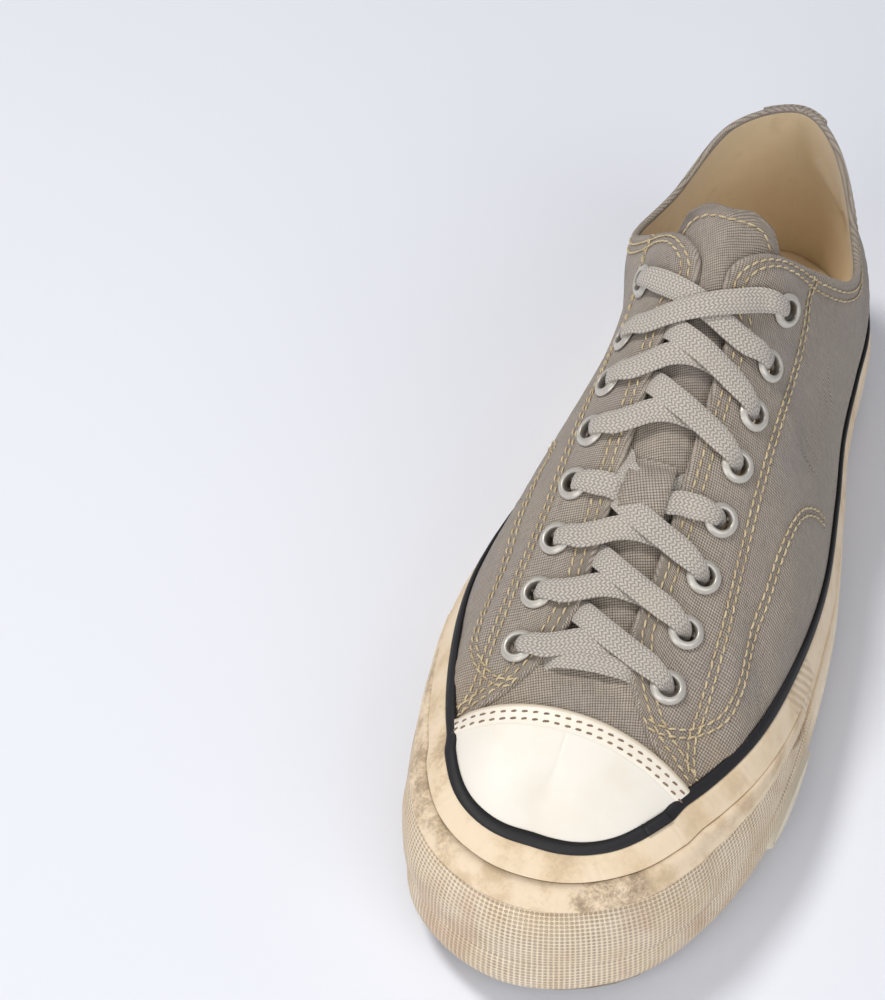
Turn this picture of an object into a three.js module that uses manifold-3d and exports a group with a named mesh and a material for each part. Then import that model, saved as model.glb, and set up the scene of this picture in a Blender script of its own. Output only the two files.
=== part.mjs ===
// A low canvas lace-up sneaker for the left foot, standing on its sole.
// Millimetres, +Z up, toe towards -Y, the outer (lateral) side of the foot towards +X.
import * as THREE from 'three';
import { mergeVertices } from 'three/addons/utils/BufferGeometryUtils.js';
import Module from 'manifold-3d';

const wasm = await Module();
wasm.setup();

// Last: lengths along the feather line, and heights above the footbed
const UPPER_LENGTH = 287;
const BALL_WIDTH = 100.6;
const TOE_HEIGHT = 34;
const INSTEP_HEIGHT = 93;
const ANKLE_HEIGHT = 57;
const HEEL_HEIGHT = 70;

// Upper: the flaps are two plies thick, the vamp under them one ply
const PLY = 1.2;
const WALL = 2.4;
const CAP_THICKNESS = 1.5;
const CAP_LENGTH = 47.9;
const CAP_BOW = 8.8;
const VAMP_LENGTH = 66;
const SLOT_WIDTH = 20;
const FLAP_CORNER = 6;
const STAY_THICKNESS = 1.2;
const STAY_WIDTH = 24;
const SEAM = 0.3;

// Sole: heights from the floor, widths beyond the feather line
const FOOTBED_HEIGHT = 20;
const OUTSOLE_THICKNESS = 3.6;
const TOE_SPRING = 4.5;
const ARCH_LIFT = 2;
const SOLE_FLARE = 10;
const SOLE_TUCK = 4;
const OUTSOLE_INSET = 1;
const GROOVE_WIDTH = 2.4;
const GROOVE_DEPTH = 1.4;
const GROOVE_PITCH = 9;
const GROOVE_BORDER = 9;

// Rubber strips round the upper, and the insole
const FOXING_RISE = 27;
const FOXING_EDGE = 1.3;
const FOXING_THICKNESS = 2.7;
const STRIP_HEIGHT = 7.4;
const STRIP_STEP = 0.8;
const TRIM_WIDTH = 2.5;
const TRIM_THICKNESS = 1.3;
const TRIM_THINNING = 0.5;
const BUMPER_THICKNESS = 4.2;
const BUMPER_END = 1.2;
const PATCH_CENTRE = 0.31;
const PATCH_THICKNESS = 1;
const PATCH_LENGTH = 36;
const PATCH_HEIGHT = 10;
const PATCH_LEVEL = 0.45;
const INSOLE_THICKNESS = 3.5;
const INSOLE_EDGE = 1;

// Tongue, eyelets and lace
const TONGUE_THICKNESS = 2.2;
const TONGUE_CLEARANCE = 1.2;
const TONGUE_HALF_WIDTH = 25;
const TONGUE_CROWN = 1.3;
const TONGUE_TUCK = 10;
const TONGUE_RELEASE = 7;
const TONGUE_BEYOND = 15;
const TONGUE_TAPER = 0.24;
const TONGUE_NARROWING = 2;
const TONGUE_ROUNDING = 0.12;
const EYELET_COUNT = 8;
const EYELET_START = 64;
const EYELET_PITCH = 16.5;
const EYELET_SPREAD = 21;
const EYELET_BORE = 6;
const EYELET_BARREL = 7.2;
const EYELET_FLANGE = 11.5;
const EYELET_SEAT = 0.8;
const FLANGE_THICKNESS = 0.8;
const VENT_SIZE = 0.8;
const LACE_WIDTH = 8.6;
const LACE_THICKNESS = 1.8;
const LACE_EASE = 0.35;
const LACE_RELEASE = 1.2;
const LACE_STEPS = 7;
const BAR_HALF = 6.5;
const BAR_SETBACK = 2.6;
const KEEPER_ROOM = 2.3;
const CROSS_RISE = 13;
const KEEPER_WIDTH = 12;
const KEEPER_LENGTH = 14.5;
const KEEPER_THICKNESS = 1;

// Sections of the last from toe to heel. Shares: along of UPPER_LENGTH, widths and flare and reach of
// BALL_WIDTH, toe, instep, ankle and heel of the heights, rise and drop of the section's own height,
// spring of TOE_SPRING, foxing of FOXING_RISE, soleLateral and soleMedial of SOLE_FLARE.
const LAST_COLUMNS = ['along', 'lateral', 'medial', 'spring', 'topAlong', 'topLateral', 'topMedial',
  'toe', 'instep', 'ankle', 'heel', 'rise', 'flare', 'reach', 'drop', 'foxing', 'soleLateral', 'soleMedial'];
const LAST_ROWS = [
  [0.000, 0.000, 0.000, 0.8, 0.118, 0.00, 0.00, 0.98, 0.00, 0.00, 0.00, 0.74, 0.015, 0.22, 0.00, 1.04, 0.86, 0.86],
  [0.031, 0.247, 0.232, 0.6, 0.132, 0.00, 0.00, 1.03, 0.00, 0.00, 0.00, 0.69, 0.015, 0.26, 0.00, 1.05, 0.76, 0.78],
  [0.105, 0.405, 0.361, 0.4, 0.174, 0.00, 0.00, 1.14, 0.00, 0.00, 0.00, 0.62, 0.015, 0.28, 0.00, 1.06, 0.58, 0.47],
  [0.209, 0.503, 0.442, 0.2, 0.251, 0.00, 0.00, 0.55, 0.28, 0.00, 0.00, 0.55, 0.020, 0.30, 0.00, 0.97, 0.46, 0.42],
  [0.328, 0.519, 0.481, 0.0, 0.341, 0.00, 0.00, 0.15, 0.53, 0.00, 0.00, 0.48, 0.020, 0.31, 0.00, 0.82, 0.46, 0.32],
  [0.453, 0.502, 0.442, 0.0, 0.432, 0.00, 0.00, 0.00, 0.74, 0.00, 0.00, 0.44, 0.020, 0.30, 0.00, 0.69, 0.44, 0.30],
  [0.568, 0.453, 0.379, 0.0, 0.557, 0.00, 0.00, 0.00, 0.935, 0.00, 0.00, 0.36, 0.020, 0.24, 0.02, 0.61, 0.38, 0.30],
  [0.669, 0.396, 0.334, 0.0, 0.624, 0.12, 0.12, 0.00, 1.00, 0.00, 0.00, 0.32, 0.030, 0.16, 0.06, 0.55, 0.32, 0.30],
  [0.767, 0.364, 0.342, 0.0, 0.724, 0.336, 0.346, 0.00, 0.00, 1.10, 0.00, 0.42, 0.030, 0.04, 0.29, 0.53, 0.30, 0.30],
  [0.861, 0.340, 0.309, 0.0, 0.829, 0.290, 0.306, 0.00, 0.00, 1.00, 0.00, 0.46, 0.030, 0.03, 0.32, 0.53, 0.30, 0.30],
  [0.955, 0.229, 0.220, 0.0, 0.920, 0.159, 0.199, 0.00, 0.00, 0.00, 0.96, 0.42, 0.040, 0.02, 0.30, 0.60, 0.33, 0.32],
  [1.000, 0.000, 0.000, 0.0, 0.962, 0.00, 0.00, 0.00, 0.00, 0.00, 1.00, 0.43, 0.050, 0.02, 0.31, 0.70, 0.34, 0.34],
];
const SPANS = LAST_ROWS.length - 1;
const ROUND = 2 * SPANS;
const RIDGE_ROWS = 7;

// The same table as sections in millimetres, listed once round the foot: lateral side, heel, medial side
const table = LAST_ROWS.map(row => Object.fromEntries(LAST_COLUMNS.map((name, k) => [name, row[k]])));
const sections = Array.from({ length: ROUND }, (_, k) => {
  const side = k <= SPANS ? 1 : -1;
  const row = table[k <= SPANS ? k : ROUND - k];
  const base = FOOTBED_HEIGHT + TOE_SPRING * row.spring;
  const top = FOOTBED_HEIGHT + TOE_HEIGHT * row.toe + INSTEP_HEIGHT * row.instep
    + ANKLE_HEIGHT * row.ankle + HEEL_HEIGHT * row.heel;
  return {
    x: side * BALL_WIDTH * (side > 0 ? row.lateral : row.medial),
    y: UPPER_LENGTH * row.along,
    base,
    topX: side * BALL_WIDTH * (side > 0 ? row.topLateral : row.topMedial),
    topY: UPPER_LENGTH * row.topAlong,
    top,
    rise: (top - base) * row.rise,
    flare: BALL_WIDTH * row.flare,
    reach: BALL_WIDTH * row.reach,
    drop: (top - base) * row.drop,
    foxing: FOOTBED_HEIGHT + FOXING_RISE * row.foxing,
    sole: SOLE_FLARE * (side > 0 ? row.soleLateral : row.soleMedial),
  };
});

// Catmull-Rom value of one column at a place u round the foot, and its slope
function along(u, name) {
  const k = Math.floor(u);
  const f = u - k;
  const [p, q, r, s] = [-1, 0, 1, 2].map(step => sections[(k + step + 2 * ROUND) % ROUND][name]);
  const bend = 2 * p - 5 * q + 4 * r - s;
  const twist = -p + 3 * q - 3 * r + s;
  return {
    value: 0.5 * (2 * q + (r - p) * f + bend * f * f + twist * f * f * f),
    slope: 0.5 * (r - p + 2 * bend * f + 3 * twist * f * f),
  };
}

// How steeply the ridge over the toe and instep climbs, from the heights of its rows
function ridgeSlope(u) {
  const place = Math.min(u, ROUND - u);
  const atRow = k => {
    const low = sections[Math.max(k - 1, 0)];
    const high = sections[Math.min(k + 1, RIDGE_ROWS - 1)];
    return k < RIDGE_ROWS ? (high.top - low.top) / (high.topY - low.topY) : 0;
  };
  const k = Math.floor(place);
  return atRow(k) + (atRow(k + 1) - atRow(k)) * (place - k);
}

// Outward direction of the feather line in plan
function outward(u) {
  const tx = along(u, 'x').slope;
  const ty = along(u, 'y').slope;
  return new THREE.Vector3(ty, -tx, 0).normalize();
}

// Surface of the last: u goes round the foot from the toe, rise goes from the feather line (0) to the top (1)
function last(u, rise) {
  const out = outward(u);
  const read = name => along(u, name).value;
  const foot = new THREE.Vector3(read('x'), read('y'), read('base'));
  const low = foot.clone().addScaledVector(out, read('flare'));
  low.z += read('rise');
  const top = new THREE.Vector3(read('topX'), read('topY'), read('top'));
  const reach = read('reach');
  const high = top.clone().addScaledVector(out, reach);
  high.z += ridgeSlope(u) * out.y * reach - read('drop');
  const keep = 1 - rise;
  return foot.multiplyScalar(keep ** 3).addScaledVector(low, 3 * keep * keep * rise)
    .addScaledVector(high, 3 * keep * rise * rise).addScaledVector(top, rise ** 3);
}

const STEP = 0.01;
const RIDGE_BACKOFF = 0.97;
function lastNormal(u, rise) {
  const at = Math.min(rise, RIDGE_BACKOFF);
  const round = last(u + STEP, at).sub(last((u - STEP + ROUND) % ROUND, at));
  const up = last(u, at + STEP).sub(last(u, at - STEP));
  return round.cross(up).normalize();
}

// A point of the surface moved out by some distance
function shell(u, rise, distance) {
  return last(u, rise).addScaledVector(lastNormal(u, rise), distance);
}

// A place on one side of the foot, by its share of the way from the toe to the heel
const lateral = share => SPANS * share;
const medial = share => (ROUND - SPANS * share) % ROUND;

// Place (u, rise) of the surface above a point of the plan, by the side that x is on: the nearest of a grid
// of places, then closer by Newton's steps
const SCAN = { shares: 60, rises: 12, lowest: 0.4, spacing: 0.05 };
const scanSide = place => Array.from({ length: SCAN.shares + 1 }, (_, i) => (
  Array.from({ length: SCAN.rises + 1 }, (_, j) => {
    const share = i / SCAN.shares;
    const rise = SCAN.lowest + SCAN.spacing * j;
    return { share, rise, point: last(place(share), rise) };
  }))).flat();
const scans = { lateral: scanSide(lateral), medial: scanSide(medial) };
function locate(x, y) {
  const place = x < 0 ? medial : lateral;
  const far = entry => Math.hypot(entry.point.x - x, entry.point.y - y);
  const nearest = (x < 0 ? scans.medial : scans.lateral).reduce((a, b) => far(b) < far(a) ? b : a);
  let share = nearest.share;
  let rise = nearest.rise;
  for (let turn = 0; turn < 8; turn += 1) {
    const here = last(place(share), rise);
    const alongStep = last(place(share + 0.001), rise).sub(here).divideScalar(0.001);
    const upStep = last(place(share), rise + 0.001).sub(here).divideScalar(0.001);
    const det = alongStep.x * upStep.y - alongStep.y * upStep.x;
    const dx = x - here.x;
    const dy = y - here.y;
    share = THREE.MathUtils.clamp(share + (dx * upStep.y - dy * upStep.x) / det, 0.02, 0.98);
    rise = THREE.MathUtils.clamp(rise + (alongStep.x * dy - alongStep.y * dx) / det, 0.2, 1.3);
  }
  return { u: place(share), rise };
}

// Height of the closed last over the plan, crowned across the slot where the two halves part
const CROWN_HALF = 0.4 * SLOT_WIDTH;
function skin(x, y) {
  const height = at => {
    const { u, rise } = locate(at, y);
    return last(u, rise).z;
  };
  if (Math.abs(x) >= CROWN_HALF) return height(x);
  const sides = [-1, 1].map(s => ({ edge: height(s * CROWN_HALF), next: height(s * (CROWN_HALF + 1)) }));
  const blend = (x / CROWN_HALF + 1) / 2;
  const edge = sides[0].edge * (1 - blend) + sides[1].edge * blend;
  const fall = (sides[0].edge - sides[0].next + sides[1].edge - sides[1].next) / 2;
  return edge + fall * (CROWN_HALF ** 2 - x * x) / (2 * CROWN_HALF);
}
function skinPoint(x, y, distance) {
  const z = skin(x, y);
  const acrossStep = new THREE.Vector3(2, 0, skin(x + 1, y) - skin(x - 1, y));
  const alongStep = new THREE.Vector3(0, 2, skin(x, y + 1) - skin(x, y - 1));
  const normal = acrossStep.cross(alongStep).normalize();
  return { point: new THREE.Vector3(x, y, z).addScaledVector(normal, distance), normal };
}

// Columns of every piece that goes round the foot: shares of one side, closer at the toe and the heel
const STEP_COLUMN = 9;
const SHARES = [0, 0.022, 0.045, 0.068, 0.09, 0.112, 0.134, 0.156, 0.178, 0.197,
  0.235, 0.275, 0.315, 0.36, 0.40, 0.44, 0.48, 0.52, 0.56, 0.61,
  0.665, 0.695, 0.73, 0.765, 0.80, 0.84, 0.873, 0.905, 0.937, 0.969, 1];
const HALF = SHARES.length - 1;
const PLACES = [...SHARES.map(lateral), ...SHARES.slice(1, HALF).reverse().map(medial)];
const onCentre = k => k % HALF === 0;
const centred = (point, yes) => (yes ? point.setX(0) : point);

// Soup of triangles to a closed mesh
function toGeometry(soup) {
  const raw = new THREE.BufferGeometry();
  raw.setAttribute('position', new THREE.Float32BufferAttribute(soup.flatMap(p => [p.x, p.y, p.z]), 3));
  const merged = mergeVertices(raw, 1e-3);
  const index = Array.from(merged.index.array);
  const kept = [];
  for (let k = 0; k < index.length; k += 3) {
    const [a, b, c] = index.slice(k, k + 3);
    if (a !== b && b !== c && a !== c) kept.push(a, b, c);
  }
  merged.setIndex(kept);
  return merged;
}
function quad(soup, a, b, c, d) {
  soup.push(a, b, c, a, c, d);
}

// Solid between an outer and an inner sheet of points [column][row], both running upwards.
// A looped sheet goes round the foot; topEdge says whether the wall has an edge between two columns.
function wall(outer, inner, looped = false, topEdge = () => true) {
  const soup = [];
  const count = outer.length;
  const top = outer[0].length - 1;
  for (let i = 0; i < count - (looped ? 0 : 1); i += 1) {
    const k = (i + 1) % count;
    for (let j = 0; j < top; j += 1) {
      quad(soup, outer[i][j], outer[k][j], outer[k][j + 1], outer[i][j + 1]);
      quad(soup, inner[i][j], inner[i][j + 1], inner[k][j + 1], inner[k][j]);
    }
    quad(soup, outer[k][0], outer[i][0], inner[i][0], inner[k][0]);
    if (topEdge(i)) quad(soup, outer[i][top], outer[k][top], inner[k][top], inner[i][top]);
  }
  if (!looped) {
    const end = count - 1;
    for (let j = 0; j < top; j += 1) {
      quad(soup, outer[0][j], outer[0][j + 1], inner[0][j + 1], inner[0][j]);
      quad(soup, outer[end][j + 1], outer[end][j], inner[end][j], inner[end][j + 1]);
    }
  }
  return toGeometry(soup);
}

// Solid of looped outlines stacked from the bottom up, closed by strips across the foot
function slab(rings) {
  const soup = [];
  const count = rings[0].length;
  for (let level = 0; level + 1 < rings.length; level += 1) {
    for (let i = 0; i < count; i += 1) {
      const k = (i + 1) % count;
      quad(soup, rings[level][i], rings[level][k], rings[level + 1][k], rings[level + 1][i]);
    }
  }
  const cap = (ring, up) => {
    const triangle = (a, b, c) => soup.push(...(up ? [a, b, c] : [a, c, b]));
    for (let k = 0; k < HALF; k += 1) {
      const [a, b, c, d] = [ring[k], ring[k + 1], ring[(count - k - 1) % count], ring[(count - k) % count]];
      triangle(a, b, c);
      triangle(a, c, d);
    }
  };
  cap(rings[rings.length - 1], true);
  cap(rings[0], false);
  return toGeometry(soup);
}

function toSolid(geometry) {
  return new wasm.Manifold(new wasm.Mesh({
    numProp: 3,
    vertProperties: geometry.attributes.position.array,
    triVerts: Uint32Array.from(geometry.index.array),
  }));
}
function fromSolid(solid) {
  const mesh = solid.getMesh();
  const geometry = new THREE.BufferGeometry();
  geometry.setAttribute('position', new THREE.BufferAttribute(Float32Array.from(mesh.vertProperties), 3));
  geometry.setIndex(Array.from(mesh.triVerts));
  return geometry;
}
function bare(geometry) {
  geometry.deleteAttribute('normal');
  geometry.deleteAttribute('uv');
  return mergeVertices(geometry, 1e-4);
}

const shoe = new THREE.Group();
function add(name, geometry, colour, roughness, metalness = 0) {
  const material = new THREE.MeshStandardMaterial({ color: colour, roughness, metalness });
  const mesh = new THREE.Mesh(geometry, material);
  mesh.name = name;
  shoe.add(mesh);
  return mesh;
}
const CANVAS = 0x8c857b;
const CREAM = 0xf1ebdd;
const RUBBER = 0xdcc8ac;
const DARK = 0x35353a;
const LACE_GREY = 0x96918a;
const EYELET_WHITE = 0xd9d5cb;

// Sole

// Underside of the sole: flat under the ball and the heel, lifted at the arch and sprung at the toe
const FLATS = { ballStart: 0.20, ballEnd: 0.44, heelStart: 0.68 };
function ground(y) {
  const share = y / UPPER_LENGTH;
  if (share < FLATS.ballStart) return TOE_SPRING * (1 - share / FLATS.ballStart) ** 2;
  if (share > FLATS.ballEnd && share < FLATS.heelStart) {
    return ARCH_LIFT * Math.sin(Math.PI * (share - FLATS.ballEnd) / (FLATS.heelStart - FLATS.ballEnd)) ** 2;
  }
  return 0;
}

// Side of the sole: level is the share of the height up to the rim, tuck how far it stands in
const SIDE = [
  { level: 0.00, tuck: 0.85 },
  { level: 0.12, tuck: 0.40 },
  { level: 0.34, tuck: 0.00 },
  { level: 0.76, tuck: 0.08 },
  { level: 1.00, tuck: 0.28 },
];
function soleEdge(u, level, lift = 0) {
  const sole = along(u, 'sole').value;
  const tuckScale = SOLE_TUCK * (0.25 + 0.75 * sole / SOLE_FLARE);
  const row = SIDE.findIndex((entry, k) => k + 1 === SIDE.length - 1 || SIDE[k + 1].level >= level);
  const [low, high] = [SIDE[row], SIDE[row + 1]];
  const tuck = low.tuck + (high.tuck - low.tuck) * (level - low.level) / (high.level - low.level);
  const out = outward(u);
  const point = new THREE.Vector3(along(u, 'x').value, along(u, 'y').value, 0)
    .addScaledVector(out, sole - tuckScale * tuck + lift);
  const bottom = ground(point.y) + OUTSOLE_THICKNESS + SEAM;
  const rim = along(u, 'base').value - SEAM;
  return point.setZ(bottom + (rim - bottom) * level);
}
const midsoleRings = SIDE.map(({ level }) => PLACES.map((u, k) => centred(soleEdge(u, level), onCentre(k))));
add('midsole', slab(midsoleRings), RUBBER, 0.75);

const outsoleRing = under => PLACES.map((u, k) => {
  const point = centred(soleEdge(u, 0, -OUTSOLE_INSET), onCentre(k));
  return point.setZ(ground(point.y) + (under ? 0 : OUTSOLE_THICKNESS));
});
let outsole = toSolid(slab([outsoleRing(true), outsoleRing(false)]));

// Grooves across the flats of the tread, each inside a border
function treadWidth(y, side) {
  const k = outsoleRing(true);
  const half = side > 0 ? k.slice(0, HALF + 1) : [k[0], ...k.slice(HALF).reverse()];
  const at = half.findIndex((p, i) => i > 0 && p.y >= y);
  const [a, b] = [half[Math.max(at, 1) - 1], half[Math.max(at, 1)]];
  return Math.abs(a.x + (b.x - a.x) * (y - a.y) / (b.y - a.y)) - GROOVE_BORDER;
}
const grooveZones = [
  [FLATS.ballStart * UPPER_LENGTH, FLATS.ballEnd * UPPER_LENGTH],
  [FLATS.heelStart * UPPER_LENGTH, UPPER_LENGTH - 2 * GROOVE_BORDER],
];
for (const [start, end] of grooveZones) {
  const count = Math.floor((end - start) / GROOVE_PITCH);
  for (let k = 0; k < count; k += 1) {
    const y = start + GROOVE_PITCH * (k + 0.5);
    const [right, left] = [treadWidth(y, 1), treadWidth(y, -1)];
    const box = bare(new THREE.BoxGeometry(right + left, GROOVE_WIDTH, 2 * GROOVE_DEPTH));
    box.translate((right - left) / 2, y, 0);
    outsole = outsole.subtract(toSolid(box));
  }
}
add('outsole', fromSolid(outsole), DARK, 0.85);

// Upper

// Columns of one side of the upper: where each starts on the feather line and where it ends on the top edge.
// The top edge runs over the ridge to the vamp's end, round the slot between the flaps, and along the collar.
const RIDGE_COLUMNS = 6;
const SLOT_END_COLUMN = 18;
const slotHalf = SLOT_WIDTH / 2;

// Place on the ridge at some distance from the toe
function ridgeAt(y) {
  let [low, high] = [0, RIDGE_ROWS - 1];
  for (let turn = 0; turn < 40; turn += 1) {
    const mid = (low + high) / 2;
    if (along(mid, 'topY').value < y) low = mid; else high = mid;
  }
  return low;
}
// Where the top edge of the last is as far from the centre as the cut corner of a flap
function slotTop(side) {
  let [low, high] = [RIDGE_ROWS - 1, RIDGE_ROWS + 1];
  for (let turn = 0; turn < 40; turn += 1) {
    const mid = (low + high) / 2;
    const u = side > 0 ? mid : ROUND - mid;
    if (Math.abs(along(u, 'topX').value) < slotHalf + FLAP_CORNER) low = mid; else high = mid;
  }
  return low;
}
function upperTops(side) {
  const toSide = u => (side > 0 ? u : (ROUND - u) % ROUND);
  const end = slotTop(side);
  const endY = along(toSide(end), 'topY').value - FLAP_CORNER;
  return SHARES.map((share, k) => {
    if (k <= RIDGE_COLUMNS) {
      const start = sections[0].topY;
      const y = start + (VAMP_LENGTH - start) * k / RIDGE_COLUMNS;
      return { u: toSide(k === 0 ? 0 : ridgeAt(y)), rise: 1 };
    }
    if (k <= STEP_COLUMN) {
      const across = slotHalf * (k - RIDGE_COLUMNS) / (STEP_COLUMN - RIDGE_COLUMNS);
      return locate(side * across, VAMP_LENGTH);
    }
    if (k <= SLOT_END_COLUMN) {
      const y = VAMP_LENGTH + (endY - VAMP_LENGTH) * (k - STEP_COLUMN) / (SLOT_END_COLUMN - STEP_COLUMN);
      return locate(side * slotHalf, y);
    }
    if (k === SLOT_END_COLUMN + 1) return { u: toSide(end), rise: 1 };
    return { u: toSide(lateral(share)), rise: 1 };
  });
}
const tops = { lateral: upperTops(1), medial: upperTops(-1) };

// Point of a column (k counts round the foot) at a share of the way up it, from the feather line to its end.
// The flaps' front edges, and the columns near them, bow towards the toe by a share of a section's spacing.
const STEP_BOW = 0.2;
const BOWED_COLUMNS = 7;
function columnLine(k) {
  const onMedial = k > HALF;
  const row = onMedial ? 2 * HALF - k : k;
  const top = (onMedial ? tops.medial : tops.lateral)[row];
  const bow = (onMedial ? -1 : 1) * STEP_BOW * Math.max(0, 1 - Math.abs(row - STEP_COLUMN) / BOWED_COLUMNS);
  return { base: onMedial ? medial(SHARES[row]) : lateral(SHARES[row]), top, bow };
}
function pointOn({ base, top, bow = 0 }, up, distance) {
  return shell(base + (top.u - base) * up - bow * 4 * up * (1 - up), top.rise * up, distance);
}
function columnPoint(k, up, distance) {
  return centred(pointOn(columnLine(k), up, distance), onCentre(k));
}

// Share of the way up a column where the surface, moved out by some distance, reaches some height
function columnAt(k, z, distance) {
  let [low, high] = [0, 0.8];
  for (let turn = 0; turn < 24; turn += 1) {
    const mid = (low + high) / 2;
    if (columnPoint(k, mid, distance).z < z) low = mid; else high = mid;
  }
  return low;
}

const UPPER_ROWS = [0, 0.15, 0.30, 0.44, 0.57, 0.69, 0.80, 0.90, 1];
const sideRow = k => Math.min(k, 2 * HALF - k);
const onRidge = k => sideRow(k) <= RIDGE_COLUMNS;
const upperColumns = [];
PLACES.forEach((_, k) => {
  const row = sideRow(k);
  const plies = row < STEP_COLUMN ? [PLY] : row > STEP_COLUMN ? [0] : k < HALF ? [PLY, 0] : [0, PLY];
  for (const ply of plies) upperColumns.push({ k, ply });
});
function ridgePoint(u, distance) {
  const normal = new THREE.Vector3(0, -ridgeSlope(u), 1).normalize();
  return last(u, 1).setX(0).addScaledVector(normal, distance);
}
function upperPoint({ k }, up, distance) {
  if (up === 1 && onRidge(k)) return ridgePoint(columnLine(k).top.u, distance);
  return columnPoint(k, up, distance);
}
const upperOuter = upperColumns.map(column => UPPER_ROWS.map(up => upperPoint(column, up, -column.ply)));
const upperInner = upperColumns.map(column => UPPER_ROWS.map(up => upperPoint(column, up, -WALL)));
const columnAfter = i => upperColumns[(i + 1) % upperColumns.length];
const upperEdge = i => !(onRidge(upperColumns[i].k) && onRidge(columnAfter(i).k));
let upper = toSolid(wall(upperOuter, upperInner, true, upperEdge));

// Eyelets: places along both flaps, evenly spaced over the curved surface, and two vents on the medial side
function eyeletPlaces(side) {
  const places = [];
  let y = EYELET_START;
  for (let k = 0; k < EYELET_COUNT; k += 1) {
    places.push({ x: side * EYELET_SPREAD, y });
    const climb = skin(side * EYELET_SPREAD, y + 1) - skin(side * EYELET_SPREAD, y);
    y += EYELET_PITCH / Math.hypot(1, climb);
  }
  return places;
}
const eyelets = { lateral: eyeletPlaces(1), medial: eyeletPlaces(-1) };
const VENTS = [{ share: 0.58, rise: 0.225 }, { share: 0.655, rise: 0.23 }];
const EYELET_SIDES = 8;

// An eyelet stands square to the surface, high enough for its flange to clear the canvas all round
function eyeletFrame({ u, rise }, scale = 1) {
  const point = last(u, rise);
  const normal = lastNormal(u, rise);
  const reach = scale * EYELET_FLANGE / 2;
  const spanU = reach / last(u + 0.5, rise).distanceTo(last(u - 0.5, rise));
  const spanRise = reach / last(u, rise + 0.05).distanceTo(last(u, rise - 0.05)) / 10;
  const seat = Math.max(0, ...Array.from({ length: EYELET_SIDES }, (_, k) => {
    const angle = 2 * Math.PI * k / EYELET_SIDES;
    const beside = last(u + spanU * Math.cos(angle), rise + spanRise * Math.sin(angle));
    return beside.sub(point).dot(normal);
  }));
  const turn = new THREE.Quaternion().setFromUnitVectors(new THREE.Vector3(0, 0, 1), normal);
  return { point, turn, seat };
}
const eyeletFrames = [
  ...['lateral', 'medial'].flatMap(side => eyelets[side].map(({ x, y }, k) => (
    { name: `eyelet_${side}_${k + 1}`, scale: 1, ...eyeletFrame(locate(x, y)) }))),
  ...VENTS.map(({ share, rise }, k) => (
    { name: `vent_medial_${k + 1}`, scale: VENT_SIZE,
      ...eyeletFrame({ u: medial(share), rise }, VENT_SIZE) })),
];
function upright(geometry) {
  return geometry.rotateX(Math.PI / 2);
}
for (const { point, turn, scale } of eyeletFrames) {
  const radius = scale * EYELET_BARREL / 2 + SEAM;
  const drill = bare(upright(new THREE.CylinderGeometry(radius, radius, 6 * WALL, EYELET_SIDES)));
  drill.applyQuaternion(turn).translate(point.x, point.y, point.z);
  upper = upper.subtract(toSolid(drill));
}
add('upper', fromSolid(upper), CANVAS, 0.9);
for (const { name, point, turn, seat, scale } of eyeletFrames) {
  const [bore, barrel, flange] = [EYELET_BORE, EYELET_BARREL, EYELET_FLANGE].map(size => scale * size / 2);
  const under = seat + EYELET_SEAT;
  const crest = under + FLANGE_THICKNESS;
  const profile = [[bore, -WALL], [barrel, -WALL], [barrel, under], [flange, under],
    [flange - FLANGE_THICKNESS, crest], [bore, crest]];
  const closed = [...profile, profile[0]].map(([radius, z]) => new THREE.Vector2(radius, z));
  const ring = new THREE.LatheGeometry(closed, EYELET_SIDES);
  const mesh = add(name, bare(upright(ring)), EYELET_WHITE, 0.35, 0.3);
  mesh.quaternion.copy(turn);
  mesh.position.copy(point);
}

// Toe cap: a shell over the vamp on the same columns, cut off along a rear edge bowed forward at both sides
const CAP_LAST_COLUMN = 8;
const capInner = 1.5 * SEAM - PLY;
const capOuter = capInner + CAP_THICKNESS;
const capRear = x => CAP_LENGTH - CAP_BOW * (x / (0.4 * BALL_WIDTH)) ** 2;
function betweenPlaces(a, b, share) {
  const mix = (low, high) => low + (high - low) * share;
  const top = { u: mix(a.top.u, b.top.u), rise: mix(a.top.rise, b.top.rise) };
  return { base: mix(a.base, b.base), bow: mix(a.bow, b.bow), top };
}
function capColumns(side) {
  const around = k => (side > 0 ? k : (2 * HALF - k) % (2 * HALF));
  const toSide = u => (side > 0 ? u : ROUND - u);
  const line = k => columnLine(around(k));
  const ridgeRow = (CAP_LENGTH - sections[0].topY) / (VAMP_LENGTH - sections[0].topY) * RIDGE_COLUMNS;
  const whole = Math.floor(ridgeRow);
  const columns = Array.from({ length: CAP_LAST_COLUMN + 1 }, (_, k) => (
    { ...line(k), centre: k === 0, ridge: k <= whole }));
  const start = columns[whole].base === 0 ? { ...columns[whole], base: toSide(0) } : columns[whole];
  const between = betweenPlaces(start, columns[whole + 1], ridgeRow - whole);
  const corner = { ...between, centre: false, ridge: true };
  corner.top = { u: toSide(ridgeAt(CAP_LENGTH)), rise: 1 };
  columns.splice(whole + 1, 0, corner);
  return columns.map(column => ({ ...column, end: column.ridge ? 1 : capEnd(column) }));
}
function capEnd(column) {
  let [low, high] = [0, 1];
  for (let turn = 0; turn < 30; turn += 1) {
    const mid = (low + high) / 2;
    const point = pointOn(column, mid, 0);
    if (point.y < capRear(point.x)) low = mid; else high = mid;
  }
  return Math.max(low, UPPER_ROWS[2]);
}
const capSides = { lateral: capColumns(1), medial: capColumns(-1) };
const capLoop = [...capSides.medial.slice(1).reverse(), ...capSides.lateral];
function capPoint(column, up, distance) {
  const at = Math.min(up, column.end);
  if (at === 1) return ridgePoint(column.top.u, distance);
  return centred(pointOn(column, at, distance), column.centre);
}
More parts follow.
